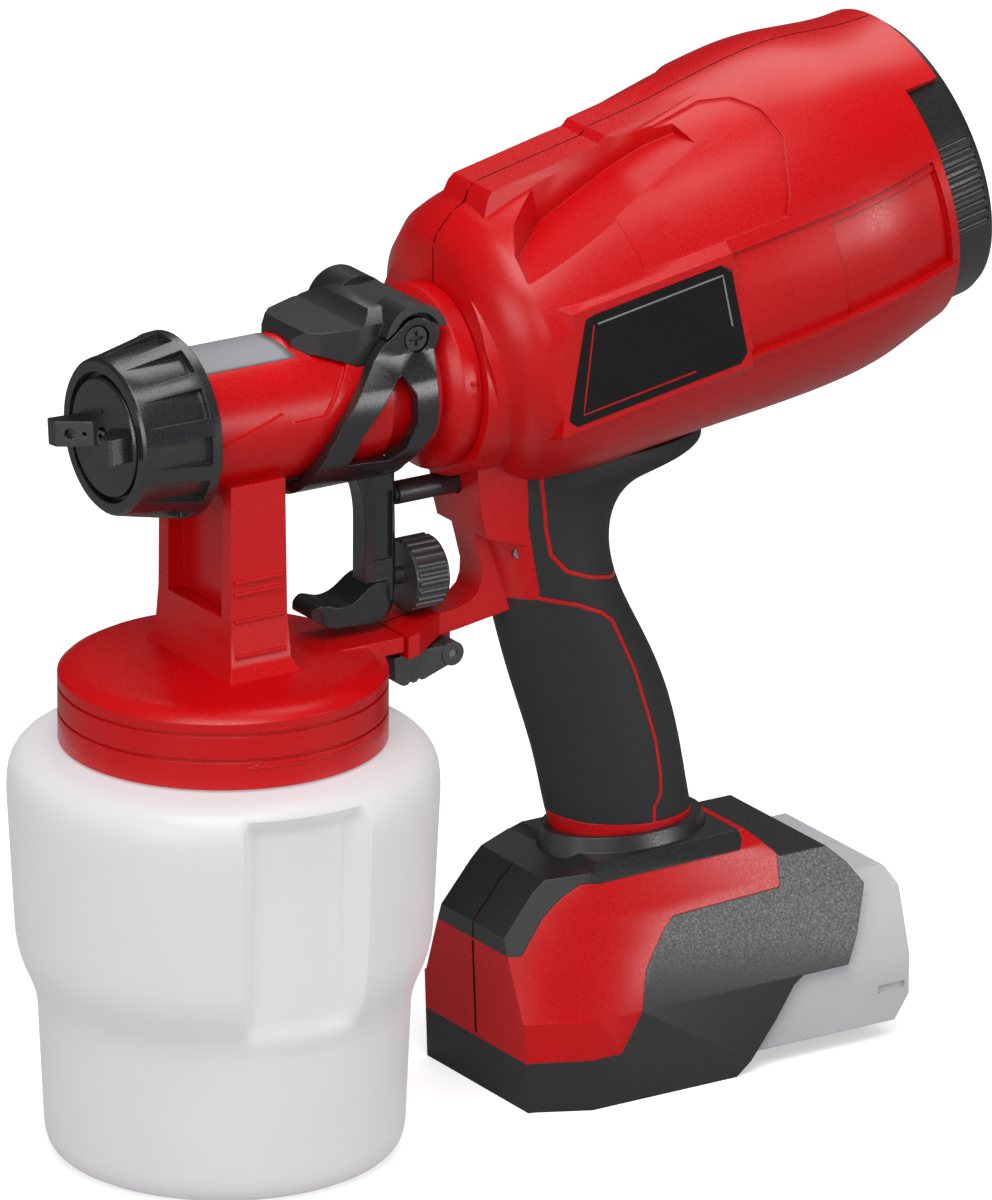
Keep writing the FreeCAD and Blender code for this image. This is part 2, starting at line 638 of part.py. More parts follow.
def saddle_blank():
    side = side_prism([(18, 230), (18, 242.2), (21, 244.4), (36, 245.2), (41, 248.6), (57, 248.6), (62, 244.6),
                       (HEAD_REAR_X - 5, 243.2), (HEAD_REAR_X - 5, 236), (60, 230)], -SADDLE_HALF_Y, SADDLE_HALF_Y)
    plan = plan_prism([(17, -7), (24, -14), (34, -SADDLE_HALF_Y), (60, -SADDLE_HALF_Y), (66, -12), (66, 12),
                       (60, SADDLE_HALF_Y), (34, SADDLE_HALF_Y), (24, 14), (17, 7)], 225, 260)
    top = on_barrel(turned_x([(10, 0), (10, 30.2), (70, 30.2), (70, 0)]))
    return side.common(plan).common(top).cut(box(0, 80, -FAR / 2, FAR / 2, 200, AXIS_Z + 12.5))


def hood():
    ring = rod_y(HOOD_R, SADDLE_HALF_Y - 0.5, HOOD_Y1, PIVOT_X, PIVOT_Z)
    ring = ring.cut(rod_y(HOOD_IN_R, 0, FAR, PIVOT_X, PIVOT_Z))
    keep = side_prism([(30, 233.6), (46.4, 245.3), (PIVOT_X, PIVOT_Z + 5), (PIVOT_X + 30, PIVOT_Z - 3),
                       (PIVOT_X + 30, PIVOT_Z + 30), (30, PIVOT_Z + 30)], 0, FAR)
    return ring.common(keep)


def make_trigger_saddle():
    blank = saddle_blank()
    arch = rod_y(HOOD_R, 9.5, SADDLE_HALF_Y, PIVOT_X, PIVOT_Z)
    hump = arch.common(box(0, 100, 0, 40, AXIS_Z + 13, 300))
    saddle = fused([blank, both_sides(hump), both_sides(hood())])
    saddle = saddle.cut(rod_x(BARREL_R, 0, 100))
    saddle = saddle.cut(on_barrel(turned_x([(49, 0), (50, BARREL_R), (60, FLANGE_CONE_R), (63.5, FLANGE_R - 0.8),
                                            (FLANGE_X0, FLANGE_R), (80, FLANGE_R), (80, 0)])))
    saddle = saddle.cut(rod_y(PIVOT_PIN_R, -FAR, FAR, PIVOT_X, PIVOT_Z))
    fairing = rod_x(FAIRING_R, 0, 44)
    return saddle.cut(fairing.common(box(0, 44, -FAR, FAR, 0, AXIS_Z + 17)))


def make_pivot_screws():
    pin = rod_y(PIVOT_PIN_R, PIVOT_PIN_Y, FORK_OUT_Y - PIVOT_SINK + 0.2, PIVOT_X, PIVOT_Z)
    head = rod_y(PIVOT_SINK_R - 0.6, FORK_OUT_Y - PIVOT_SINK + 0.2, FORK_OUT_Y - 0.4, PIVOT_X, PIVOT_Z)
    screw = pin.fuse(head)
    slot = box(PIVOT_X - 2.2, PIVOT_X + 2.2, FORK_OUT_Y - 1.2, FORK_OUT_Y, PIVOT_Z - 0.45, PIVOT_Z + 0.45)
    cross = box(PIVOT_X - 0.45, PIVOT_X + 0.45, FORK_OUT_Y - 1.2, FORK_OUT_Y, PIVOT_Z - 2.2, PIVOT_Z + 2.2)
    screw = screw.cut(slot).cut(cross)
    return Part.makeCompound([screw, mirrored(screw)])


def curved_prism(points, half_y):
    """A prism over a smooth curve through points in (x, z), closed by one straight edge."""
    curve = Part.BSplineCurve()
    curve.interpolate([V(x, 0, z) for x, z in points])
    closing = Part.makeLine(V(points[-1][0], 0, points[-1][1]), V(points[0][0], 0, points[0][1]))
    prism = Part.Face(Part.Wire([curve.toShape(), closing])).extrude(V(0, 2 * half_y, 0))
    prism.translate(V(0, -half_y, 0))
    return prism


def trigger_lever():
    """The finger lever under the fork: a stem with eased corners, on a foot with a lip to the front."""
    top = AXIS_Z - FORK_IN_R + 1
    stem = curved_prism([(39.5, top), (43.4, 193), (STEM_X0, 184), (STEM_X0 + 0.1, 172), (STEM_X0 + 0.1, 163),
                         (46.6, 158), (50.5, 155.8), (54.4, 158), (STEM_X1, 163), (STEM_X1, 180),
                         (STEM_X1, top)], STEM_HALF_Y)
    stem = stem.cut(rod_x(FORK_IN_R + 0.6, 0, 100))
    side = STEM_HALF_Y - STEM_EASE
    stem = stem.common(plan_prism([
        (36, -side), (STEM_X0, -side), (STEM_X0 + STEM_EASE, -STEM_HALF_Y), (STEM_X1 - STEM_EASE, -STEM_HALF_Y),
        (STEM_X1, -side), (STEM_X1, side), (STEM_X1 - STEM_EASE, STEM_HALF_Y), (STEM_X0 + STEM_EASE, STEM_HALF_Y),
        (STEM_X0, side), (36, side)], 150, 210))
    foot = curved_prism([(47, 163.5), (44.6, 162.2), (41.2, 159.8), (35, FOOT_Z1 + 0.8),
                         (FOOT_X0 + 3.2, FOOT_Z1 + 2.0), (FOOT_X0, FOOT_Z1 - 0.2), (FOOT_X0 + 3.0, FOOT_Z1 - 2.9),
                         (32, 152.9), (38, FOOT_Z0 + 0.2), (46, FOOT_Z0), (52, FOOT_Z0 + 1.2),
                         (STEM_X1 - 0.8, FOOT_Z0 + 4.6), (STEM_X1 - 1, 163.5)], FOOT_HALF_Y)
    foot = foot.common(plan_prism([
        (FOOT_X0 - 1, -2.5), (FOOT_X0 + 0.8, -5), (FOOT_X0 + 4, -FOOT_HALF_Y), (50, -FOOT_HALF_Y), (STEM_X1 - 1, -4),
        (STEM_X1 - 1, 4), (50, FOOT_HALF_Y), (FOOT_X0 + 4, FOOT_HALF_Y), (FOOT_X0 + 0.8, 5), (FOOT_X0 - 1, 2.5)],
        150, 170))
    return [stem, foot]


def make_trigger():
    """A fork that wraps the barrel from below, with the lever hanging under it."""
    x0 = 10.0
    x1 = 64.0
    ring = pipe_x(FORK_OUT_R, FORK_IN_R, x0, x1)
    ring = ring.cut(box(0, 100, -FAR / 2, FAR / 2, FORK_SPLIT_Z, FAR))
    rise = FORK_SPLIT_Z - AXIS_Z
    out_y = math.sqrt(FORK_OUT_R ** 2 - rise ** 2)
    in_y = math.sqrt(FORK_IN_R ** 2 - rise ** 2)
    wall = front_prism([(in_y, FORK_SPLIT_Z), (out_y, FORK_SPLIT_Z), (FORK_OUT_Y, PIVOT_Z - 4), (FORK_OUT_Y, 256),
                        (FORK_IN_Y, 256), (FORK_IN_Y, PIVOT_Z - 4)], x0, x1)
    band = fused([ring, wall, mirrored(wall)])
    outline = side_prism([(17.9, 205.5), (20.2, 212.9), (24.2, 220.2), (40, 239.6), (47.0, PIVOT_Z + 4.3),
                          (PIVOT_X + 1, PIVOT_Z + 4), (PIVOT_X + PIVOT_HEAD_R, PIVOT_Z), (56.2, 227.6), (56, 214.2),
                          (53.6, 208.6), (50, 202), (50, 190), (19, 190), (16.6, 198)], -FAR / 2, FAR / 2)
    window = side_prism([(45.3, 231.2), (49, 225.4), (49.3, 217), (46.9, 208.5), (43.6, 205.4), (28.6, 206.8),
                         (31.2, 215.9), (38.6, 224.9), (43.6, 230.5)], -FAR / 2, FAR / 2)
    fork = band.common(outline).cut(window)
    ear = rod_y(PIVOT_HEAD_R, FORK_IN_Y, FORK_OUT_Y, PIVOT_X, PIVOT_Z)
    trigger = fused([fork, ear, mirrored(ear)] + trigger_lever())
    trigger = trigger.cut(rod_y(PIVOT_PIN_R + PIN_FIT, -FAR, FAR, PIVOT_X, PIVOT_Z))
    sink = rod_y(PIVOT_SINK_R, FORK_OUT_Y - PIVOT_SINK, FAR, PIVOT_X, PIVOT_Z)
    trigger = trigger.cut(sink).cut(mirrored(sink))
    trigger = trigger.cut(rod_x(KNOB_SPINDLE_R + PIN_FIT, STEM_X1 - 7, FAR, 0, KNOB_Z))
    window = box(STEM_X0 + 2.2, STEM_X1 - 2.2, -FAR, 1.2 - STEM_HALF_Y, FOOT_Z1 + 12, AXIS_Z - FORK_OUT_R - 5)
    return trigger.cut(window).cut(mirrored(window))


def make_flow_knob():
    knob = rod_x(KNOB_R - 0.7, KNOB_X0, KNOB_X1, 0, KNOB_Z)
    ridges = []
    for i in range(KNOB_RIDGES):
        a = math.radians(i * 360.0 / KNOB_RIDGES)
        r = KNOB_R - KNOB_RIDGE_R
        ridges.append(rod_x(KNOB_RIDGE_R, KNOB_X0 + 0.8, KNOB_X1 - 0.8, r * math.cos(a), KNOB_Z + r * math.sin(a)))
    knob = knob.multiFuse(ridges)
    spindle = rod_x(KNOB_SPINDLE_R, STEM_X1 - 6.5, KNOB_X0 + 1, 0, KNOB_Z)
    return knob.fuse(spindle)


# ---- Turbine housing, in its own frame (t along the axis, n up from it) ----
def housing_form(inset, t0, t1):
    nose = [V(14, 0, 30.5 - inset), V(17, 0, 31.5 - inset), V(21.5, 0, 38.0 - inset), V(28, 0, 42.5 - inset)]
    curve = Part.BSplineCurve()
    curve.interpolate([V(28, 0, 42.5 - inset), V(45, 0, 45.5 - inset), V(75, 0, 48 - inset), V(100, 0, 50.3 - inset),
                       V(127, 0, 51.9 - inset), V(140, 0, 51.4 - inset), V(SIDE_END_T, 0, 47.0 - inset),
                       V(176, 0, 45.9 - inset)])
    edges = [Part.makePolygon(nose).Edges, [curve.toShape()],
             Part.makePolygon([V(176, 0, 45.9 - inset), V(176, 0, 0), V(14, 0, 0), nose[0]]).Edges]
    wire = Part.Wire(sum(edges, []))
    form = Part.Face(wire).revolve(V(0, 0, 0), V(1, 0, 0), 360)
    return form.common(box(t0, t1, -FAR / 2, FAR / 2, -FAR / 2, FAR / 2))


def crest():
    section = front_prism([(-CREST_LOW_HALF, CREST_LOW_N), (CREST_LOW_HALF, CREST_LOW_N),
                           (CREST_TOP_HALF, CREST_TOP_N), (-CREST_TOP_HALF, CREST_TOP_N)], 10, 130)
    side = side_prism([(18, 20), (20.2, 23.3), (22.9, 29.1), (34, 46.6), (36, 48), (73, 48), (75.5, 49.6),
                       (110, 50.0), (128, 49), (128, 20)], -FAR / 2, FAR / 2)
    return section.common(side)


def finger_pocket():
    """Recess beside the crest, on the near side, above a slanting floor."""
    outline = plan_prism([(36, -19), (30.6, -26), (29.4, -32.5), (36, -36), (60, -34), (90, -30), (96, -24),
                          (95, -14.5), (86, -11), (74, -10), (48, -11.6)], 0, 80)
    floor = beyond_plane(V(30, -32.5, 27.6), V(93, -30.5, 41.5), V(50, -11, 34.4), V(60, -20, 90))
    return outline.cut(floor)


def label_flat():
    return plan_prism([(LABEL_T0, -LABEL_Y0), (LABEL_T1, -LABEL_Y1), (LABEL_T1, -FAR), (LABEL_T0, -FAR)], -17.5, 18)


def on_label_plane(outline, sunk):
    """A closed line over an outline in (t, n), on the label's plane or parallel to it, deeper in."""
    lean = (LABEL_Y1 - LABEL_Y0) / (LABEL_T1 - LABEL_T0)
    points = [V(t, sunk - LABEL_Y0 - lean * (t - LABEL_T0), n) for t, n in outline]
    return Part.makePolygon(points + [points[0]])


def label_slab():
    """Raised field that carries the label, with broad sloping edges."""
    rim = on_label_plane([(36.5, 18), (88, 18), (88, -17.5), (26, -17.5)], 0)
    root = on_label_plane([(27, 25), (89.5, 30), (89.5, -28), (23.5, -21)], LABEL_SLAB_DEPTH)
    return Part.makeLoft([root, rim], True, True)


def label_outline():
    """The plate's outline in (t, n), with a slanted front edge and cut corners."""
    return [(40, 15), (43, 15.6), (84, 15.6), (86.6, 13), (86.6, -13), (84, -15.6), (31, -15.6), (29, -13.2)]


def label_block(raise_by):
    """Solid over the label's outline, from far outside down to a depth below the flat."""
    slab = plan_prism([(LABEL_T0, -LABEL_Y0 - raise_by), (LABEL_T1, -LABEL_Y1 - raise_by), (LABEL_T1, -FAR),
                       (LABEL_T0, -FAR)], -40, 40)
    return side_prism(label_outline(), -FAR, 0).common(slab)


def side_panel(t0, depth, n0, n1):
    ring = housing_form(-2, t0, PANEL_T1).cut(housing_form(depth, t0, PANEL_T1))
    return ring.common(box(t0, PANEL_T1, -FAR, 0, n0, n1))


def pocket_field():
    """Shallow field round the rear of the finger pocket."""
    ring = housing_form(-3, 60, 122).cut(housing_form(FIELD_DEPTH, 60, 122))
    return ring.common(plan_prism([(62, -12.5), (106, -12.5), (114, -17), (118.5, -25), (119, -34), (112, -44),
                                   (100, -52), (62, -52)], 21, 80))


def side_rib():
    ring = housing_form(-1.0, 88, 161).cut(housing_form(2, 88, 161))
    return ring.common(box(88, 161, -FAR, 0, -17.0, -15.0))


def housing_rear_trim():
    """What is cut from the sides behind the edge, leaving the tongue over the top."""
    half = TONGUE_HALF_ANGLE
    ring = box(SIDE_END_T, FAR, -FAR, FAR, -FAR, FAR)
    a = math.radians(half)
    wedge = front_prism([(0, 0), (-FAR * math.sin(a), FAR * math.cos(a)), (FAR * math.sin(a), FAR * math.cos(a))],
                        SIDE_END_T - 1, TONGUE_END_T)
    return ring.cut(wedge)


def turbine_housing():
    body = housing_form(0, 10, TONGUE_END_T)
    body = fused([body, crest(), label_slab(), mirrored(label_slab())])
    cutters = [label_flat(), pocket_field(), finger_pocket()]
    cutters += [side_panel(*panel) for panel in PANELS]
    for cutter in cutters:
        body = body.cut(cutter).cut(mirrored(cutter))
    body = body.fuse(side_rib()).fuse(mirrored(side_rib()))
    plate_seat = label_block(-LABEL_DEPTH)
    body = body.cut(plate_seat).cut(mirrored(plate_seat))
    return body.cut(housing_rear_trim())


def turbine_cavity():
    front = rod_x(BAY_R, BAY_T0, BAY_T1, 0, 0)
    throat = rod_x(SPIGOT_R - 3, 0, BAY_T0 + 1, 0, 0)
    link = rod_x(BAY_R - 6, BAY_T1 - 1, REAR_BAY_T0 + 1, 0, 0)
    rear = housing_form(HOUSING_WALL, REAR_BAY_T0, 190)
    end = rod_x(COVER_R + RUN, SIDE_END_T - 12, 190, 0, 0)
    return fused([front, throat, link, rear, end])


# ---- Grip ----
def ellipse_wire(x0, x1, half_y, z):
    a = (x1 - x0) / 2
    curve = Part.Ellipse(V((x0 + x1) / 2, 0, z), max(a, half_y), min(a, half_y))
    if a < half_y:
        curve.rotate(FreeCAD.Placement(V(0, 0, 0), FreeCAD.Rotation(V(0, 0, 1), 90)))
    return Part.Wire(curve.toShape())


def grip_form(inset):
    wires = [ellipse_wire(x0 + inset, x1 - inset, half - inset, z) for z, x0, x1, half in GRIP_SECTIONS]
    return Part.makeLoft(wires, True, False)


PAD_LINE_TOP = [(97.8, 200), (97.8, 186.4), (99.2, 172.5), (100.9, 164.6), (106, 158.8), (114.6, 155.4),
                (124.2, 152.7), (175, 150)]
PAD_LINE_FRONT = [(70, 151.4), (98, 151.4), (109.5, 148.1), (118.1, 144.1), (122.3, 140.6), (130.2, 124.1),
                  (137.3, 101.2), (139.1, 90.1), (139.1, 84.4), (136.6, 80.6), (137, 70)]
PAD_LEFT = [(93.8, 200), (93.9, 175.1), (96.3, 162.5), (98.4, 153), (97.4, 151.4)]
PAD_TOP_Z = 196.0
PAD_FOOT = [(60, 84), (108, 80.4), (116, 78.2), (133, 76.4), (180, 74.5)]


def grip_skin():
    """Rubber layer on the grip, before the dividing lines are cut through it."""
    skin = grip_form(0).cut(grip_form(GRIP_SKIN)).cut(tilted(housing_form(0, 10, SIDE_END_T))).cut(guard())
    skin = skin.cut(screw_holes())
    field = side_prism([PAD_LEFT[0], PAD_LEFT[1], PAD_LEFT[2], PAD_LEFT[3], PAD_LEFT[4], (60, 151.4)]
                       + PAD_FOOT + [(180, PAD_TOP_Z)], -FAR / 2, FAR / 2)
    return skin.common(field)


def grip_pads():
    """The rubber layer's three pads: top, back and front."""
    skin = grip_skin()
    skin = skin.cut(line_band(PAD_LINE_TOP, SEAM_LINE)).cut(line_band(PAD_LINE_FRONT, SEAM_LINE))
    above = side_prism(PAD_LINE_TOP + [(175, 220), (97.8, 220)], -FAR / 2, FAR / 2)
    ahead = side_prism(PAD_LINE_FRONT + [(60, 70), (60, 151.4)], -FAR / 2, FAR / 2)
    top = skin.common(above)
    front = skin.common(ahead)
    back = skin.cut(above).cut(ahead)
    return {"grip_pad_top": top, "grip_pad_back": back, "grip_pad_front": front}


# ---- Guard ----
def guard():
    """The loop behind the trigger. Its inner edge leaves room for the flow knob as the head turns."""
    bar = side_prism([(100, 196), (78.4, 186), (78.2, 181.1), (81.6, 168.3), (83.4, 161.0), (83.2, 156.8),
                      (82.0, 153.8), (79.6, 151.8), (74, 150.4), (59.6, 149.4), (53, 148.4), (52.8, 141.8),
                      (59.6, 142.6), (75, 144.2), (93.5, 147), (104, 147)], -GUARD_HALF_Y, GUARD_HALF_Y)
    pad_side = side_prism([(52.8, 141.8), (70, 143.6), (70, 150), (59.6, 149.4), (53, 148.4)], -FAR / 2, FAR / 2)
    pad = pad_side.common(plan_prism([
        (52.8, -GUARD_PAD_HALF_Y), (57, -GUARD_PAD_HALF_Y + 0.6), (63, -10), (69, -GUARD_HALF_Y),
        (69, GUARD_HALF_Y), (63, 10), (57, GUARD_PAD_HALF_Y - 0.6), (52.8, GUARD_PAD_HALF_Y)], 130, 160))
    root = side_prism([(78.2, 181.1), (80.4, 172.6), (100, 166), (100, 200), (77, 194)], -13.5, 13.5)
    half = LATCH_LUG_R
    lug = side_prism([(LATCH_X - half, 146), (LATCH_X - half, LATCH_Z), (LATCH_X, LATCH_Z - half),
                      (LATCH_X + half, LATCH_Z), (LATCH_X + half, 146)], -LATCH_LUG_HALF_Y, LATCH_LUG_HALF_Y)
    return fused([bar, pad, root, lug])


# ---- Dock ----
def dock_envelope():
    side = side_prism([(DOCK_FRONT_X, 0), (DOCK_FRONT_X - 1.8, 44), (DOCK_FRONT_X - 1.8, 51), (94, 63), (98, 66.4),
                       (111, 67.6), (114, 69.6), (165, DOCK_TOP_Z), (174, 61.5), (190, 61.5), (196, 56), (201, 49),
                       (196, 35), (191.7, 27.3), (176, 27.1), (172.8, 24.7), (166.5, 15), (158, 4), (153, 0)],
                      -FAR / 2, FAR / 2)
    plan = plan_prism([(80, -26), (DOCK_FRONT_X + 2, -28), (DOCK_FRONT_X + 17, -DOCK_HALF_Y), (210, -DOCK_HALF_Y),
                       (210, DOCK_HALF_Y), (DOCK_FRONT_X + 17, DOCK_HALF_Y), (DOCK_FRONT_X + 2, 28), (80, 26)], 0, 90)
    half = [(DOCK_HALF_Y, 0), (DOCK_HALF_Y, DOCK_CREASE_Z), (29.6, 48), (27, 56), (24, 65.5), (20, DOCK_TOP_Z)]
    section = front_prism(half + [(-y, z) for y, z in reversed(half)], 70, 220)
    body = side.common(plan).common(section)
    corner = beyond_plane(V(89, -28, 28), V(105, -DOCK_HALF_Y, 27.3), V(104.4, -24, 56), V(130, 0, 20))
    corner = corner.common(box(0, 200, -FAR, 0, 27.4, FAR))
    return body.cut(corner).cut(mirrored(corner))


def dock_red_field():
    return side_prism([(70, 15), (113, 15.6), (119.9, 26.9), (123.3, 38.6), (130.8, 48.2), (135, 51.6),
                       (172.2, 53), (173, 60.8), (173, 80), (70, 80)], -FAR / 2, FAR / 2)


def dock_cover_field():
    top = side_prism([(70, 45.6), (88, 46), (95.4, 56), (101, 61), (107, 64.6), (161, 65.4), (163, 68), (163, 90),
                      (70, 90)], -24.4, 24.4)
    return top


def battery_section(inset):
    half = [(BATTERY_HALF_Y - inset, DOCK_FLOOR + 0.5 + inset), (BATTERY_HALF_Y - inset, 25.5),
            (27.0 - inset, 45.0), (25.0 - inset, BATTERY_TOP_Z - inset)]
    return half + [(-y, z) for y, z in reversed(half)]


def dock_cavity():
    tunnel = front_prism(battery_section(-RUN), DOCK_CAVITY_X, 260)
    room = box(92, DOCK_CAVITY_X - 8, -22, 22, 8, 42)
    port = box(DOCK_CAVITY_X - 9, DOCK_CAVITY_X + 1, -16, 16, 14, 38)
    return fused([tunnel, room, port])


def make_dock_base():
    base = dock_envelope().cut(dock_red_field()).cut(dock_cavity())
    return base.cut(dock_cover_field()).removeSplitter()


def make_dock_cover():
    """Black saddle over the dock, with a raised collar round the foot of the grip."""
    cover = dock_envelope().common(dock_cover_field()).common(dock_red_field())
    z = DOCK_TOP_Z
    foot = ellipse_wire(108.5, 163, 19.5, z - 3)
    collar = Part.makeLoft([foot, ellipse_wire(110.0, 160.5, 17.6, z + 4)], True, True)
    return cover.fuse(collar).cut(grip_form(0))


def make_board():
    return box(96, 96 + BOARD_T, -20, 20, 8, 40)


def make_terminal_block():
    block = box(DOCK_CAVITY_X - 8, DOCK_CAVITY_X - 0.6, -15.5, 15.5, 14.5, 37.5)
    blades = [box(DOCK_CAVITY_X - 1, DOCK_CAVITY_X + 9, y - 0.5, y + 0.5, 20, 30) for y in (-11.0, 0.0, 11.0)]
    return block.multiFuse(blades)


def make_battery_case():
    body = front_prism(battery_section(0), DOCK_CAVITY_X + 0.4, BATTERY_X1)
    side = side_prism([(100, 0), (206, 0), (BATTERY_X1, 13), (BATTERY_X1, 45), (BATTERY_X1 - 4, 51), (200, 60),
                       (100, 60)],
                      -FAR / 2, FAR / 2)
    body = body.common(side)
    for y in (-11.0, 0.0, 11.0):
        body = body.cut(box(DOCK_CAVITY_X, DOCK_CAVITY_X + 12, y - 1.2, y + 1.2, 18, 32))
    seat = box(BATTERY_X1 - BUTTON_T - 3, FAR, -BUTTON_HALF_Y - RUN, BUTTON_HALF_Y + RUN, BUTTON_Z0 - RUN,
               BUTTON_Z1 + RUN)
    body = body.cut(seat)
    for z in (16.0, 39.0):
        rib = box(204, BATTERY_X1 - 1.5, -FAR, FAR, z - 1.2, z + 1.2).cut(
            box(0, 300, -BATTERY_HALF_Y + 1.0, BATTERY_HALF_Y - 1.0, 0, 100))
        body = body.cut(rib)
    return body


def make_battery_button():
    x0 = BATTERY_X1 - BUTTON_T
    return box(x0, x0 + BUTTON_T + BUTTON_PROUD, -BUTTON_HALF_Y, BUTTON_HALF_Y, BUTTON_Z0, BUTTON_Z1)


# ---- Handle halves ----
def screw_solid(x, z, y_face):
    y1 = y_face - SCREW_SINK
    head = rod_y(SCREW_HEAD_R, y1 - SCREW_HEAD_T, y1, x, z)
    shank = rod_y(SCREW_R, y1 - SCREW_HEAD_T - SCREW_LEN, y1 - SCREW_HEAD_T, x, z)
    return head.fuse(shank)


def make_housing_screws():
    screws = []
    for x, z, y_face in SCREWS:
        y1 = y_face - SCREW_SINK
        star = rod_y(1.5, y1 - 1.3, y1 + 1, x, z)
        screws.append(screw_solid(x, z, y_face).cut(star))
    return Part.makeCompound(screws)


def screw_holes():
    holes = []
    for x, z, y_face in SCREWS:
        holes.append(screw_solid(x, z, y_face))
        holes.append(rod_y(SCREW_HEAD_R, y_face - SCREW_SINK - 0.1, y_face + 8, x, z))
    return fused(holes)


def handle_body(pads):
    nose = rod_x(NOSE_R, NOSE_X, NOSE_X + NOSE_LEN)
    grip = grip_form(0).cut(fused([pad.copy() for pad in pads]))
    red_dock = dock_envelope().common(dock_red_field()).cut(dock_cover_field())
    body = fused([tilted(turbine_housing()), nose, grip, guard(), red_dock])
    body = body.cut(box(-FAR, NOSE_X, -FAR, FAR, AXIS_Z - 34, FAR))
    body = body.cut(tilted(turbine_cavity()))
    body = body.cut(rod_x(SPIGOT_R + RUN, 0, SPIGOT_X1 + RUN + 6))
    body = body.cut(dock_cavity())
    body = body.cut(switch_room())
    body = body.cut(rod_x(PLUNGER_R + RUN, 60, SWITCH_X0 + 1, 0, PLUNGER_Z))
    body = body.cut(rod_y(LATCH_PIN_R, -FAR, FAR, LATCH_X, LATCH_Z))
    return body.cut(screw_holes())


def switch_room():
    bottom = PLUNGER_Z - SWITCH_HALF_Z
    return box(SWITCH_X0, SWITCH_X1, -SWITCH_HALF_Y, SWITCH_HALF_Y, bottom, bottom + 2 * SWITCH_HALF_Z)


def make_switch_body():
    return switch_room().cut(rod_x(PLUNGER_R + RUN, SWITCH_X0 - 1, PLUNGER_X1 + PLUNGER_TRAVEL + 1.5, 0, PLUNGER_Z))


def make_plunger():
    x0 = STEM_X1 + PLUNGER_GAP
    body = rod_x(PLUNGER_R, x0 + 1, PLUNGER_X1, 0, PLUNGER_Z)
    return body.fuse(rod_x(PLUNGER_R - 0.8, x0, x0 + 2, 0, PLUNGER_Z))


def make_label_plates():
    plate = label_block(-LABEL_DEPTH).cut(label_block(LABEL_PROUD))
    plates = Part.makeCompound([plate, mirrored(plate)])
    return tilted(plates)


def make_latch():
    paddle = side_prism([(51.6, 140.6), (52.0, 133.6), (54.5, 131.6), (62, 132.6), (LATCH_X, LATCH_Z - 2.8),
                         (LATCH_X, LATCH_Z + 2.4), (66, 141.6), (56, 141.4)], -LATCH_HALF_Y, LATCH_HALF_Y)
    boss = rod_y(LATCH_BOSS_R, -LATCH_HALF_Y - 0.4, LATCH_HALF_Y + 0.4, LATCH_X, LATCH_Z)
    latch = paddle.fuse(boss)
    for i in range(3):
        groove = rod_y(0.8, -FAR, FAR, 54.2 + 3.0 * i, 131.2 + 0.5 * i)
        latch = latch.cut(groove)
    slot = box(LATCH_X - 6.4, LATCH_X + 8, -LATCH_LUG_HALF_Y - RUN, LATCH_LUG_HALF_Y + RUN, LATCH_Z - 9, LATCH_Z + 9)
    return latch.cut(slot).cut(rod_y(LATCH_PIN_R + PIN_FIT, -FAR, FAR, LATCH_X, LATCH_Z))


def make_latch_pin():
    return rod_y(LATCH_PIN_R, -LATCH_HALF_Y, LATCH_HALF_Y, LATCH_X, LATCH_Z)


# ---- Motor group and rear cover, in the turbine's frame ----
def make_fan_shroud():
    r = BAY_R
    tube = rod_x(r, SHROUD_T0, BAY_T1, 0, 0).cut(rod_x(r - SHROUD_WALL, SHROUD_T0 + 3, BAY_T1 + 1, 0, 0))
    return tilted(tube.cut(rod_x(HUB_R + 2, SHROUD_T0 - 1, SHROUD_T0 + 4, 0, 0)))


def make_motor_can():
    can = rod_x(MOTOR_R, MOTOR_T0, SHROUD_T0, 0, 0).cut(rod_x(SHAFT_R + PIN_FIT, 0, 200, 0, 0))
    for i in range(8):
        a = math.radians(i * 45.0)
        can = can.cut(box(MOTOR_T0 + 5, SHROUD_T0 - 5, -1.2, 1.2, MOTOR_R - 1.5, MOTOR_R + 2).rotated(
            V(0, 0, 0), V(1, 0, 0), math.degrees(a)))
    return tilted(can)


def make_turbine_rotor():
    rotor = rod_x(SHAFT_R, MOTOR_T0 - 2, IMPELLER_T[-1] + 5, 0, 0)
    hub = rod_x(HUB_R, SHROUD_T0 + 1, IMPELLER_T[-1] + IMPELLER_THICK + 1, 0, 0)
    discs = [rod_x(IMPELLER_R, t, t + IMPELLER_THICK, 0, 0) for t in IMPELLER_T]
    return tilted(fused([rotor, hub] + discs))


def make_air_filter():
    t0 = COVER_T0 - RUN - FILTER_T
    disc = rod_x(FILTER_R, t0, t0 + FILTER_T, 0, 0)
    for i in range(9):
        y = (i - 4) * 9.0
        disc = disc.cut(box(t0 + 2, t0 + FILTER_T + 1, y - 1.4, y + 1.4, -34, 34))
    return tilted(disc)


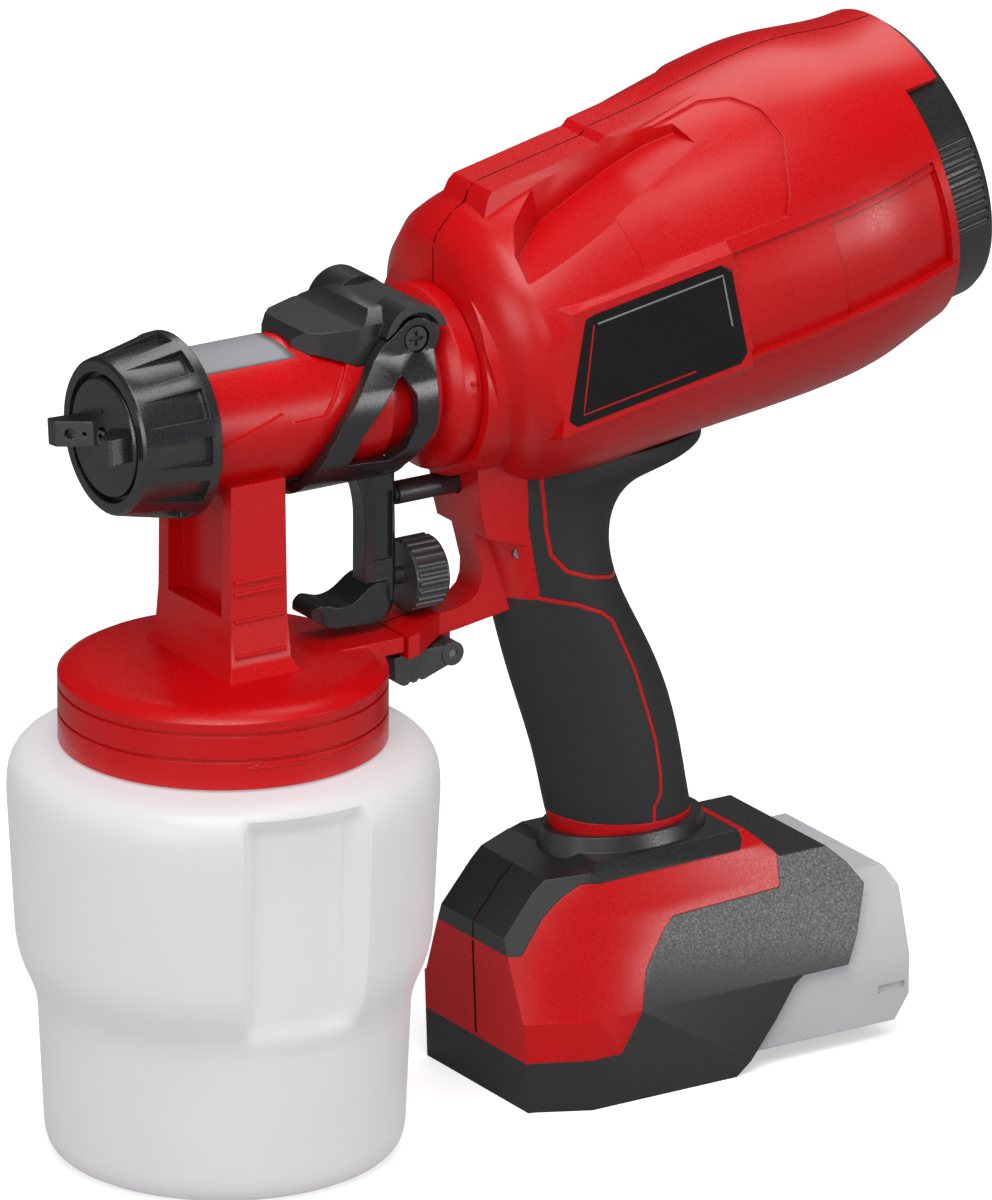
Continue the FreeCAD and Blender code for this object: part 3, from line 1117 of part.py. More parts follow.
def make_rear_cover():
    cup = turned_x([
        (COVER_T0, COVER_R - COVER_WALL), (COVER_T0, COVER_R), (COVER_T1 - 3, COVER_R), (COVER_T1 - 1, COVER_R - 0.8),
        (COVER_T1, COVER_R - 3), (COVER_T1, 0), (COVER_T1 - COVER_WALL, 0), (COVER_T1 - COVER_WALL, COVER_R - 3.6),
        (COVER_T1 - 5, COVER_R - COVER_WALL),
    ])
    for i in range(COVER_GROOVES):
        a = math.radians(COVER_GROOVE_A0 + i * COVER_GROOVE_STEP)
        y = (COVER_R + 0.35) * math.sin(a)
        n = (COVER_R + 0.35) * math.cos(a)
        for side in (-1, 1):
            groove = rod_x(COVER_GROOVE_R, SIDE_END_T + 1.4, COVER_T1 - 2.6, side * y, n)
            cup = cup.cut(groove)
    for i in range(COVER_SLOTS):
        n = (i - (COVER_SLOTS - 1) / 2.0) * COVER_SLOT_PITCH
        half = math.sqrt((COVER_R - 9) ** 2 - n ** 2)
        cup = cup.cut(box(COVER_T1 - 5, COVER_T1 + 2, -half, half, n - COVER_SLOT_H / 2, n + COVER_SLOT_H / 2))
    return tilted(cup)


# ---- Write every piece ----
def build_pieces():
    pads = grip_pads()
    handle = handle_body(list(pads.values()))
    near = box(-FAR, FAR, -FAR, 0, -FAR, FAR)
    pieces = dict(pads)
    pieces["housing_left"] = handle.common(near)
    pieces["housing_right"] = handle.cut(near)
    makers = {
        "label_plates": make_label_plates,
        "dock_cover": make_dock_cover,
        "dock_base": make_dock_base,
        "control_board": make_board,
        "terminal_block": make_terminal_block,
        "motor_can": make_motor_can,
        "fan_shroud": make_fan_shroud,
        "air_filter": make_air_filter,
        "switch_body": make_switch_body,
        "housing_screws": make_housing_screws,
        "latch_pin": make_latch_pin,
        "turbine_rotor": make_turbine_rotor,
        "rear_cover": make_rear_cover,
        "plunger": make_plunger,
        "latch": make_latch,
        "battery_case": make_battery_case,
        "battery_button": make_battery_button,
        "head_body": make_head_body,
        "trigger_saddle": make_trigger_saddle,
        "head_seal": make_head_seal,
        "cup_gasket": make_cup_gasket,
        "fluid_nozzle": make_fluid_nozzle,
        "needle_packing": make_needle_packing,
        "pivot_screws": make_pivot_screws,
        "trigger": make_trigger,
        "flow_knob": make_flow_knob,
        "needle": make_needle,
        "needle_spring": make_needle_spring,
        "air_cap": make_air_cap,
        "union_nut": make_union_nut,
        "cup": make_cup,
        "suction_tube": make_suction_tube,
    }
    for name, maker in makers.items():
        pieces[name] = maker()
    return pieces


os.makedirs("parts", exist_ok=True)
for name, shape in build_pieces().items():
    solids = shape.Solids
    print(name, "solids", len(solids), "valid", shape.isValid(), "volume", round(shape.Volume))
    shape.exportStep("parts/" + name + ".step")
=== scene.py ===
import json
import math

import bmesh
import bpy
from mathutils import Matrix, Vector
from mathutils.bvhtree import BVHTree


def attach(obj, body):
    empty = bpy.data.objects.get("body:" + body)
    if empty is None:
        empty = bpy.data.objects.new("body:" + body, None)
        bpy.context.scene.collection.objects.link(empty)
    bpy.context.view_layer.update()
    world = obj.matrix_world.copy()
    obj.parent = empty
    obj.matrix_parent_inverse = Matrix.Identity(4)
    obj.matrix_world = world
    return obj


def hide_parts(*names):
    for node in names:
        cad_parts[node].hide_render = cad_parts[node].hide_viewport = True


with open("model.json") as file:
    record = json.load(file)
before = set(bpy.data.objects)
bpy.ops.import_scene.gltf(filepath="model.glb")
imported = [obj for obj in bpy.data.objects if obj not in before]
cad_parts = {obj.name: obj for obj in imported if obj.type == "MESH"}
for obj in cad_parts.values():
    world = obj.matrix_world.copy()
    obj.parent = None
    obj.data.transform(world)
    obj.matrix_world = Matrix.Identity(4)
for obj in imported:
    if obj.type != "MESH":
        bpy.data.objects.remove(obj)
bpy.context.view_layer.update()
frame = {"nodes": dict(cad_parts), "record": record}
scene = bpy.context.scene
MM = 0.001


# Camera: a long lens, a little above the sprayer and well round to its left side, so that the
# nozzle points out to the left and the battery to the right.
AZIMUTH = math.radians(-32.46)
ELEVATION = math.radians(19.39)
ROLL = math.radians(0.149)
CAMERA_PLACE = (-1.96413, -3.23236, 1.49645)
LENS_MM = 423.77
SENSOR_MM = 36.0
FARTHEST = 30.0

back = Vector((math.sin(AZIMUTH) * math.cos(ELEVATION),
               -math.cos(AZIMUTH) * math.cos(ELEVATION),
               math.sin(ELEVATION)))
level_right = Vector((math.cos(AZIMUTH), math.sin(AZIMUTH), 0))
level_up = back.cross(level_right)
right = level_right * math.cos(ROLL) + level_up * math.sin(ROLL)
up = level_up * math.cos(ROLL) - level_right * math.sin(ROLL)
camera_data = bpy.data.cameras.new("camera")
camera_data.lens = LENS_MM
camera_data.sensor_width = SENSOR_MM
camera_data.clip_end = FARTHEST
camera = bpy.data.objects.new("camera", camera_data)
camera.matrix_world = Matrix((right, up, back)).transposed().to_4x4()
camera.location = CAMERA_PLACE
scene.collection.objects.link(camera)
scene.camera = camera
scene.view_settings.view_transform = "Standard"


# Floor: matt white paper that runs far behind the sprayer. Near the sprayer the lamps light it and
# it keeps the soft shadow; further off, where they don't reach, it fades to plain white.
FLOOR_HALF = 8.0
FADE_FROM = 0.6
FADE_TO = 2.5
NEAR_GLOW = 0.44


def hex_linear(code):
    """An sRGB colour such as #CA030A as the linear colour that a shader takes."""
    parts = [int(code[i:i + 2], 16) / 255 for i in (1, 3, 5)]
    linear = [c / 12.92 if c <= 0.04045 else ((c + 0.055) / 1.055) ** 2.4 for c in parts]
    return tuple(linear) + (1.0,)


def add(tree, kind, inputs=(), **settings):
    """Adds a node. Each input is a plain value, or another node's socket to link to."""
    made = tree.nodes.new(kind)
    for key, value in settings.items():
        setattr(made, key, value)
    for key, value in dict(inputs).items():
        if isinstance(value, bpy.types.NodeSocket):
            tree.links.new(value, made.inputs[key])
        else:
            made.inputs[key].default_value = value
    return made


def new_material(name):
    """A material with an empty node tree."""
    material = bpy.data.materials.new(name)
    material.use_nodes = True
    material.node_tree.nodes.clear()
    return material


floor_mesh = bpy.data.meshes.new("floor")
floor_corners = [(x * FLOOR_HALF, y * FLOOR_HALF, 0) for x, y in ((-1, -1), (1, -1), (1, 1), (-1, 1))]
floor_mesh.from_pydata(floor_corners, [], [(0, 1, 2, 3)])
floor = bpy.data.objects.new("floor", floor_mesh)
scene.collection.objects.link(floor)

# Matt paper: no gloss at all. What bounces off it onto the sprayer is the light of a mid grey, so
# that the undersides stay dark.
paper = new_material("studio paper")
tree = paper.node_tree
light_path = add(tree, "ShaderNodeLightPath")
spot = add(tree, "ShaderNodeTexCoord").outputs["Object"]
away = add(tree, "ShaderNodeVectorMath", {0: spot}, operation="LENGTH")
fade = add(tree, "ShaderNodeMapRange", {
    "Value": away.outputs["Value"], "From Min": FADE_FROM, "From Max": FADE_TO, "To Min": NEAR_GLOW, "To Max": 1.0})
lit = add(tree, "ShaderNodeBsdfDiffuse", {"Color": hex_linear("#F4F4F4")})
glow = add(tree, "ShaderNodeEmission", {"Color": hex_linear("#FFFFFF"), "Strength": fade.outputs[0]})
seen = add(tree, "ShaderNodeAddShader", {0: lit.outputs[0], 1: glow.outputs[0]})
bounced = add(tree, "ShaderNodeBsdfDiffuse", {"Color": hex_linear("#909090")})
chosen = add(tree, "ShaderNodeMixShader", {
    0: light_path.outputs["Is Camera Ray"], 1: bounced.outputs[0], 2: seen.outputs[0]})
add(tree, "ShaderNodeOutputMaterial", {"Surface": chosen.outputs[0]})
floor_mesh.materials.append(paper)


# Backdrop: seen as plain white. It gives the sprayer only a dim even light, and less still to its
# gloss, so that the blacks stay black.
SKY_LIGHT = 0.3
SKY_GLOSS = 0.03

world = bpy.data.worlds.new("studio")
scene.world = world
world.use_nodes = True
tree = world.node_tree
tree.nodes.clear()
light_path = add(tree, "ShaderNodeLightPath")
unseen = add(tree, "ShaderNodeMapRange", {
    "Value": light_path.outputs["Is Glossy Ray"], "To Min": SKY_LIGHT, "To Max": SKY_GLOSS})
strength = add(tree, "ShaderNodeMapRange", {
    "Value": light_path.outputs["Is Camera Ray"], "To Min": unseen.outputs[0], "To Max": 1.0})
sky = add(tree, "ShaderNodeBackground", {"Color": (1, 1, 1, 1), "Strength": strength.outputs[0]})
add(tree, "ShaderNodeOutputWorld", {"Surface": sky.outputs[0]})


# Lamps: soft boxes, each with its place in metres, its width in metres and its power in watts. The
# broad key above draws the wide highlights; the rest fill the front, the nozzle end and the back.
LAMPS_AIM = Vector((0.07, 0, 0.15))
LAMPS = (("key", (-0.5, -0.8, 1.8), 1.3, 27.0),
         ("front", (-1.0, -2.2, 0.9), 0.9, 6.0),
         ("left", (-1.7, -0.9, 0.55), 0.9, 8.5),
         ("side", (1.2, -1.5, 0.3), 0.5, 7.0),
         ("top", (0.6, 0.5, 1.4), 0.9, 7.0))

for name, place, width, power in LAMPS:
    lamp_data = bpy.data.lights.new(name, "AREA")
    lamp_data.size = width
    lamp_data.energy = power
    lamp = bpy.data.objects.new(name, lamp_data)
    lamp.location = place
    lamp.rotation_euler = (LAMPS_AIM - lamp.location).to_track_quat("-Z", "Y").to_euler()
    scene.collection.objects.link(lamp)


# Red shells: two halves that hold the turbine, the grip's core, the guard and the dock. They are
# injection-moulded in bright red ABS and closed with screws along the middle.
MOTTLE_MM = 28


def moulded(name, colour, deep, roughness, grain_mm, grain_depth, edge_mm=0.45, spread=0.08, specular=0.5):
    """Moulded plastic: mottled a little in colour and gloss, with a fine grain and eased edges."""
    material = new_material(name)
    tree = material.node_tree
    spot = add(tree, "ShaderNodeTexCoord").outputs["Object"]
    cloud = add(tree, "ShaderNodeTexNoise", {"Vector": spot, "Scale": 1 / (MOTTLE_MM * MM), "Detail": 3.0})
    tint = add(tree, "ShaderNodeMix", {0: cloud.outputs[0], 6: hex_linear(deep), 7: hex_linear(colour)},
               data_type="RGBA")
    grain = add(tree, "ShaderNodeTexNoise", {"Vector": spot, "Scale": 1 / (grain_mm * MM), "Detail": 2.0})
    gloss = add(tree, "ShaderNodeMapRange", {
        "Value": grain.outputs[0], "From Min": 0.3, "From Max": 0.7,
        "To Min": roughness - spread, "To Max": roughness + spread})
    eased = add(tree, "ShaderNodeBevel", {"Radius": edge_mm * MM}, samples=4)
    bump = add(tree, "ShaderNodeBump", {
        "Height": grain.outputs[0], "Strength": 0.6, "Distance": grain_depth * MM, "Normal": eased.outputs[0]})
    shader = add(tree, "ShaderNodeBsdfPrincipled", {
        "Base Color": tint.outputs[2], "Roughness": gloss.outputs[0], "Normal": bump.outputs[0],
        "IOR": 1.5, "Specular IOR Level": specular})
    add(tree, "ShaderNodeOutputMaterial", {"Surface": shader.outputs[0]})
    return material


def placed(name, mesh, body, slot, *nodes):
    """Puts a mesh in the scene as a piece that rides on a body and stands for the named nodes."""
    piece = bpy.data.objects.new(name, mesh)
    scene.collection.objects.link(piece)
    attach(piece, body)
    if nodes:
        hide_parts(*nodes)
    return piece


record = frame["record"]
node_body = {node: body for body, nodes in record["behaviour"]["bodies"].items() for node in nodes}
node_slot = {part["node"]: part["material_slot"] for part in record["subparts"]}
SAME_POINT = 2e-6


def dressed(node, material, sharp_degrees=32):
    """A copy of a solid with its loose triangles joined and its round faces shaded smooth."""
    source = frame["nodes"][node].data
    mesh = bpy.data.meshes.new(node)
    mesh.from_pydata([v.co for v in source.vertices], [], [list(p.vertices) for p in source.polygons])
    shape = bmesh.new()
    shape.from_mesh(mesh)
    bmesh.ops.remove_doubles(shape, verts=shape.verts, dist=SAME_POINT)
    shape.to_mesh(mesh)
    shape.free()
    mesh.shade_smooth()
    mesh.set_sharp_from_angle(angle=math.radians(sharp_degrees))
    mesh.materials.append(material)
    return placed(node + "_look", mesh, node_body[node], node_slot[node], node)


# Spark-textured ABS: a clear strong red with a soft sheen. The spark texture is about 0.1 mm; it is
# drawn at 0.55 mm so that it shows as a faint grain in the highlights.
SHELL_SHARP = 28
red_abs = moulded("spark-textured red ABS", "#CA030A", "#BC0208",
                  roughness=0.31, grain_mm=0.55, grain_depth=0.03, specular=0.45)
SHELLS = ("housing_left", "housing_right")
for node in SHELLS:
    dressed(node, red_abs, SHELL_SHARP)


# Parting line: the fine gap where the two red shells meet along the middle. It is laid as a dark
# film over the top of the housing, down its front, and down the front of the dock and its cover.
SEAM_Y = -0.15
SEAM_LIFT = 0.05
FILM_MM = 0.15
ABOVE = 400
AHEAD = 20
AHEAD_OF_DOCK = 60


def filmed(piece):
    """Gives a thin sheet its thickness, inwards to the surface that it lies on."""
    film = piece.modifiers.new("film", "SOLIDIFY")
    film.thickness = FILM_MM * MM
    film.offset = -1
    return piece


def surface_of(nodes):
    """The solids' own faces, ready for rays."""
    points = []
    faces = []
    for node in nodes:
        source = frame["nodes"][node].data
        start = len(points)
        points += [v.co.copy() for v in source.vertices]
        faces += [[start + i for i in p.vertices] for p in source.polygons]
    return BVHTree.FromPolygons(points, faces)


def seam(name, nodes, starts, heading, width, slot, jump):
    """A ribbon along the middle, where rays meet the nodes. A step longer than the jump breaks it."""
    surface = surface_of(nodes)
    heading = Vector(heading)
    runs = [[]]
    for start in starts:
        spot, normal, face, distance = surface.ray_cast(Vector(start) * MM, heading)
        if spot is None or (runs[-1] and (spot - runs[-1][-1][0]).length > jump * MM):
            runs.append([])
        if spot is not None:
            runs[-1].append((spot, -normal if normal.dot(heading) > 0 else normal))
    points = []
    faces = []
    side = Vector((0, width * MM / 2, 0))
    for run in runs:
        if len(run) < 3:
            continue
        for k, (spot, normal) in enumerate(run):
            middle = spot + normal * SEAM_LIFT * MM
            points += [middle - side, middle + side]
            if k:
                a = len(points) - 4
                faces.append((a, a + 1, a + 3, a + 2))
    mesh = bpy.data.meshes.new(name)
    mesh.from_pydata(points, [], faces)
    mesh.update()
    for face in mesh.polygons:
        if face.normal.dot(heading) > 0:
            face.flip()
    mesh.materials.append(gap_dark)
    return filmed(placed(name, mesh, "handle", slot))


# Shadowed gap: a matt near-black red, as a hairline gap between red walls looks.
gap_dark = moulded("shadowed gap", "#2A0304", "#200203",
                   roughness=0.7, grain_mm=0.9, grain_depth=0.002, spread=0.05, specular=0.1)
seam("parting_line_top", SHELLS, [(46 + k * 1.5, SEAM_Y, ABOVE) for k in range(120)], (0, 0, -1),
     width=0.45, slot="red_plastic", jump=6)
seam("parting_line_front", SHELLS, [(AHEAD, SEAM_Y, 236 + k * 1.5) for k in range(20)], (1, 0, 0),
     width=0.45, slot="red_plastic", jump=6)
seam("parting_line_dock", SHELLS, [(AHEAD_OF_DOCK, SEAM_Y, 14 + k * 1.2) for k in range(34)], (1, 0, 0),
     width=0.9, slot="red_plastic", jump=3.5)
seam("parting_line_cover", ("dock_cover",), [(AHEAD_OF_DOCK, SEAM_Y, 42 + k * 0.8) for k in range(34)], (1, 0, 0),
     width=0.6, slot="black_plastic", jump=3.5)


# Label: a black film plate set into a flat on each side of the housing. It is bare but for two thin
# printed lines near its edge, a grey one above and a red one below.
TILT = math.radians(12.5)
AXIS_X0 = 59.0
AXIS_Z = 221.0
PLATE_T0 = 24.0
PLATE_T1 = 104.0
PLATE_Y0 = 40.9
PLATE_Y1 = 49.3
PRINT_PROUD = 0.26
PRINT_WIDTH = 0.55
PRINT_STEPS = 8
UPPER_PRINT = [(43.2, 12.6), (83.6, 12.6), (83.6, -3.5)]
LOWER_PRINT = [(70, -12.8), (33.6, -12.8), (42.0, 12.6)]


def on_housing(t, y, n):
    """From the turbine's own frame, t along its axis and n up from it in mm, to the scene."""
    x = AXIS_X0 + t * math.cos(TILT) - n * math.sin(TILT)
    z = AXIS_Z + t * math.sin(TILT) + n * math.cos(TILT)
    return Vector((x, y, z)) * MM


def plate_y(t):
    """How far out the plate's print lies; the plate widens with the housing."""
    return PLATE_Y0 + (t - PLATE_T0) * (PLATE_Y1 - PLATE_Y0) / (PLATE_T1 - PLATE_T0) + PRINT_PROUD


def stepped(corners, steps):
    """Points along the straight runs between corners, so many steps to each run."""
    points = [Vector(corners[0])]
    for corner in corners[1:]:
        start = points[-1]
        points += [start.lerp(Vector(corner), k / steps) for k in range(1, steps + 1)]
    return points


def printed(name, path, outward, material):
    """A thin line of ink along a path on the housing's side."""
    points = []
    faces = []
    for i, spot in enumerate(path):
        before = path[max(i - 1, 0)]
        after = path[min(i + 1, len(path) - 1)]
        side = (after - before).normalized().cross(outward).normalized() * PRINT_WIDTH * MM / 2
        points += [spot - side, spot + side]
        if i:
            a = len(points) - 4
            faces.append((a, a + 1, a + 3, a + 2))
    mesh = bpy.data.meshes.new(name)
    mesh.from_pydata(points, [], faces)
    mesh.materials.append(material)
    return filmed(placed(name, mesh, "handle", "label_black"))


# Gloss label film: smooth, with a sharp dim reflection. Screen-printed lines: a shade duller than
# the film round them.
label_film = moulded("gloss label film", "#0B0B0C", "#070708",
                     roughness=0.16, grain_mm=0.9, grain_depth=0.004, spread=0.04)
dressed("label_plates", label_film)
label_red = moulded("printed red line", "#C80A12", "#B8060C",
                    roughness=0.22, grain_mm=0.9, grain_depth=0.003, spread=0.04)
label_grey = moulded("printed grey line", "#8E8E90", "#828284",
                     roughness=0.25, grain_mm=0.9, grain_depth=0.003, spread=0.04)
for sign, side in ((-1, "near"), (1, "far")):
    for part, corners, ink in (("upper", UPPER_PRINT, label_grey), ("lower", LOWER_PRINT, label_red)):
        path = [on_housing(t, sign * plate_y(t), n) for t, n in stepped(corners, PRINT_STEPS)]
        printed("label_line_" + part + "_" + side, path, Vector((0, sign, 0)), ink)


# Grip: black soft rubber, overmoulded on the red core in three pads, so that thin red lines of the
# core show between them.
# Stippled rubber: a dark warm grey with almost no gloss. The stipple is about 0.2 mm; it is drawn at
# 0.7 mm so that it shows.
grip_rubber = moulded("stippled soft rubber", "#2A2B2C", "#232425",
                      roughness=0.6, grain_mm=0.7, grain_depth=0.05, edge_mm=0.6, spread=0.06)
for node in ("grip_pad_top", "grip_pad_back", "grip_pad_front"):
    dressed(node, grip_rubber)


# Dock: a black shell under and behind the red front, and a black saddle over it that carries the
# grip's foot. Both are moulded in glass-filled nylon and screwed to the red shells.
# Satin nylon: a neutral black that turns grey where it faces the light, with wide dull highlights.
black_nylon = moulded("satin black nylon", "#232325", "#1C1C1E",
                      roughness=0.4, grain_mm=0.6, grain_depth=0.02, specular=0.9)
for node in ("dock_base", "dock_cover"):
    dressed(node, black_nylon)


# Terminal block and switch: moulded black nylon blocks inside the dock and the grip, dropped into
# ribs of one shell before the other closes over them.
for node in ("terminal_block", "switch_body"):
    dressed(node, black_nylon)


# Battery: a slide-in pack in a pale grey moulded case, with ribs along its sides that run in the
# dock's rails, and a darker sprung release button at its end.
# Pale ABS: soft and even, slightly dull. The button's grey is darker and a little glossier.
battery_grey = moulded("pale grey ABS", "#C6C8CA", "#BBBDC0", roughness=0.42, grain_mm=0.6, grain_depth=0.03)
button_grey = moulded("grey button ABS", "#8C8E92", "#808286", roughness=0.4, grain_mm=0.6, grain_depth=0.03)
dressed("battery_case", battery_grey)
dressed("battery_button", button_grey)


# Rear cover and fan shroud: the cover turns off to reach the filter and is grooved at its sides for
# the fingers; the shroud is the duct round the fan. Both are moulded in black nylon.
for node in ("rear_cover", "fan_shroud"):
    dressed(node, black_nylon)


# Air filter: a pad of white felt that keeps dust out of the turbine. It is cut from a sheet and
# lies loose under the rear cover, so that it can be taken out and washed.
# Needled felt: a matt off-white with soft uneven fibres, drawn as lumps of 0.8 mm.
felt = moulded("needled filter felt", "#DEDDD6", "#CFCEC6",
               roughness=0.85, grain_mm=0.8, grain_depth=0.12, spread=0.05, specular=0.2)
dressed("air_filter", felt)


# Motor and turbine: a drawn steel can held in the shells' ribs, and the impellers on its shaft, which
# blow the air through the barrel.
# Turned steel: bright, with fine uneven streaks in its gloss, about 0.5 mm apart.
STREAK_MM = 0.5
steel = new_material("turned steel")
tree = steel.node_tree
spot = add(tree, "ShaderNodeTexCoord").outputs["Object"]
streaks = add(tree, "ShaderNodeTexNoise", {"Vector": spot, "Scale": 1 / (STREAK_MM * MM), "Detail": 1.0})
sheen = add(tree, "ShaderNodeMapRange", {"Value": streaks.outputs[0], "To Min": 0.24, "To Max": 0.42})
shader = add(tree, "ShaderNodeBsdfPrincipled", {
    "Base Color": hex_linear("#9A9B9E"), "Metallic": 1.0, "Roughness": sheen.outputs[0]})
add(tree, "ShaderNodeOutputMaterial", {"Surface": shader.outputs[0]})
for node in ("motor_can", "turbine_rotor"):
    dressed(node, steel)


# Control board: a small board of glass-fibre laminate inside the handle, slotted into the shells.
# Lacquered board: deep green, smooth and fairly glossy.
board_green = moulded("lacquered board", "#0E5A2C", "#0A4A24", roughness=0.3, grain_mm=1.2, grain_depth=0.01)
dressed("control_board", board_green)


# Screws and pin: turned steel screws that close the shells from one side, and the pin that the
# latch turns on.
for node in ("housing_screws", "latch_pin"):
    dressed(node, steel)


# Switch rod: a smooth black nylon rod that slides in the housing below the barrel. The trigger pushes
# it back onto the switch.
dressed("plunger", black_nylon)


# Latch: a small lever under the guard that locks the spray head. It is moulded in black nylon with
# ribs for the thumb, and turns on its pin.
# Lightened nylon: the same black nylon as the dock, its colour painted a lighter grey as painted light, for the
# light and shine it catches; part of the shine is real gloss from its high specular.
nylon_painted_lighter = moulded("black nylon painted lighter for light", "#37383A", "#2E2F31",
                     roughness=0.34, grain_mm=0.6, grain_depth=0.02, specular=1.0)
dressed("latch", nylon_painted_lighter)


# Spray head: the barrel, the neck and the cup's lid in one moulding of the shells' red ABS. It
# pushes onto the housing's nose and turns to lock.
dressed("head_body", red_abs, SHELL_SHARP)


# Seals: a rubber ring where the head meets the housing, and a flat one inside the lid on which the
# cup's rim closes. Both are pressed into grooves.
for node in ("head_seal", "cup_gasket"):
    dressed(node, grip_rubber)


# Saddle and pivots: a black nylon moulding over the barrel, and the two screws in it that the
# trigger swings on.
for node in ("trigger_saddle", "pivot_screws"):
    dressed(node, black_nylon)


# Trigger: one moulding in black acetal, a fork that straddles the barrel and a hooked finger bar
# below it.
# Semi-gloss acetal: near black and very smooth, with narrow clear highlights along its bends.
trigger_black = moulded("semi-gloss black acetal", "#1B1C1E", "#151618",
                        roughness=0.24, grain_mm=0.8, grain_depth=0.006, spread=0.05, specular=0.9)
dressed("trigger", trigger_black)


# Flow knob: a ribbed wheel behind the finger bar that limits the trigger's travel. It is moulded in
# black nylon, drawn with the latch's colour that is painted lighter for light, and turns on a stem in the trigger.
dressed("flow_knob", nylon_painted_lighter)


# Air cap and union nut: the cap has two horns that shape the jet; the nut holds it on the barrel
# and has deep flutes for the hand. Both are moulded in black nylon with a polished mould.
# Polished nylon: a clean black with crisp highlights on each flute.
nut_black = moulded("polished black nylon", "#262629", "#1E1E20",
                    roughness=0.28, grain_mm=0.7, grain_depth=0.008, spread=0.05, specular=1.0)
for node in ("air_cap", "union_nut"):
    dressed(node, nut_black)


# Nozzle and needle: the nozzle screws into the barrel, and the needle, drawn back by the trigger
# against its spring, opens it. All three are turned or wound in steel.
for node in ("fluid_nozzle", "needle", "needle_spring"):
    dressed(node, steel)


# Packing and suction tube: the packing is the white sleeve round the needle; the tube hangs from
# the lid into the paint. Both are moulded in white nylon and pushed in.
# White nylon: opaque and slightly warm, with a dull sheen.
white_nylon = moulded("white nylon", "#E8E8E6", "#DEDEDB", roughness=0.4, grain_mm=0.8, grain_depth=0.01)
for node in ("needle_packing", "suction_tube"):
    dressed(node, white_nylon)


# Sticker: a bare grey vinyl film, cut with a shallow notch in its rear edge and stuck over the top of
# the barrel.
BARREL_R = 20.5
STICKER_PROUD = 0.12
STICKER_HALF = 34.0
STICKER_X = 14.6
STICKER_NOTCH = 2.6
STICKER_ROWS = 28
STICKER_COLUMNS = 12

points = []
for i in range(STICKER_ROWS + 1):
    across = 2 * i / STICKER_ROWS - 1
    angle = math.radians(STICKER_HALF * across)
    rear = STICKER_X + STICKER_NOTCH * abs(across)
    r = BARREL_R + STICKER_PROUD
    for k in range(STICKER_COLUMNS + 1):
        x = -STICKER_X + (rear + STICKER_X) * k / STICKER_COLUMNS
        points.append(Vector((x, -r * math.sin(angle), AXIS_Z + r * math.cos(angle))) * MM)
faces = []
for i in range(STICKER_ROWS):
    for k in range(STICKER_COLUMNS):
        a = i * (STICKER_COLUMNS + 1) + k
        b = a + STICKER_COLUMNS + 1
        faces.append((a, b, b + 1, a + 1))
mesh = bpy.data.meshes.new("barrel_sticker")
mesh.from_pydata(points, [], faces)
mesh.shade_smooth()

# Vinyl film: an even mid grey with a broad soft sheen.
sticker_film = moulded("grey vinyl film", "#8E8F92", "#88898C",
                       roughness=0.55, grain_mm=0.9, grain_depth=0.006, specular=0.2)
mesh.materials.append(sticker_film)
filmed(placed("barrel_sticker", mesh, "spray_head", "red_plastic"))


# Lid arrows: two thin arrows moulded proud on the lid's skirt, that point the two ways the cup
# turns. They are of the lid's own red ABS.
SKIRT_R = 47.2
ARROW_Z = 131.4
SHAFT_HALF = 0.35
BARB_HALF = 1.1
BARB_LENGTH = 4
ARROW_SUNK = -0.1
ARROW_THICK = 0.3
ARROW_BENDS = 12
LONG_EDGE = 6
ARROWS = (("open", -99.0, -1, 24.0), ("close", -74.0, 1, 17.0))


def wrap_on_skirt(mesh, start_degrees, z):
    """Bends a flat mesh, drawn in millimetres in x and y, round the lid's skirt."""
    for vertex in mesh.vertices:
        angle = math.radians(start_degrees) + vertex.co.x / SKIRT_R
        r = SKIRT_R + vertex.co.z
        vertex.co = Vector((r * math.cos(angle), r * math.sin(angle), z + vertex.co.y)) * MM


for name, start, sign, length in ARROWS:
    tip = length / 2
    neck = tip - BARB_LENGTH
    outline = [(-tip, -SHAFT_HALF), (neck, -SHAFT_HALF), (neck, -BARB_HALF), (tip, 0),
               (neck, BARB_HALF), (neck, SHAFT_HALF), (-tip, SHAFT_HALF)]
    shape = bmesh.new()
    face = shape.faces.new([shape.verts.new((sign * x, y, ARROW_SUNK)) for x, y in outline])
    top = bmesh.ops.extrude_face_region(shape, geom=[face])["geom"]
    bmesh.ops.translate(shape, verts=[g for g in top if isinstance(g, bmesh.types.BMVert)], vec=(0, 0, ARROW_THICK))
    bmesh.ops.subdivide_edges(shape, edges=[e for e in shape.edges if e.calc_length() > LONG_EDGE],
                              cuts=ARROW_BENDS, use_grid_fill=True)
    bmesh.ops.triangulate(shape, faces=shape.faces)
    bmesh.ops.recalc_face_normals(shape, faces=shape.faces)
    mesh = bpy.data.meshes.new("arrow")
    shape.to_mesh(mesh)
    shape.free()
    wrap_on_skirt(mesh, start, ARROW_Z)
    mesh.materials.append(red_abs)
    placed("lid_arrow_" + name, mesh, "spray_head", "red_plastic")


# Cup: blow-moulded in milky polyethylene, 1.6 mm thick, and screwed up into the lid. It narrows in
# one step near the foot, and a recessed window strip runs up its side.
CUP_WALL = 1.6
CUP_AROUND = 288
WINDOW_ANGLE = math.radians(262.5)
WINDOW_HALF = math.radians(17.0)
WINDOW_EASE = math.radians(3.6)
WINDOW_R = 53.6
WINDOW_DEEP = 7.5
WINDOW_FOOT_Z = 48.0
WINDOW_TOP_Z = 121.0
CUP_PROFILE = [(0.5, 0, 0), (51.6, 0, 8.5), (53.7, 48.5, 5), (59.6, 62.5, 6), (62.0, 110, 3),
               (61.2, 122.0, 8.5), (47.7, 124.2, 2), (43.5, 124.6, 0.4), (43.5, 141.0, 0)]


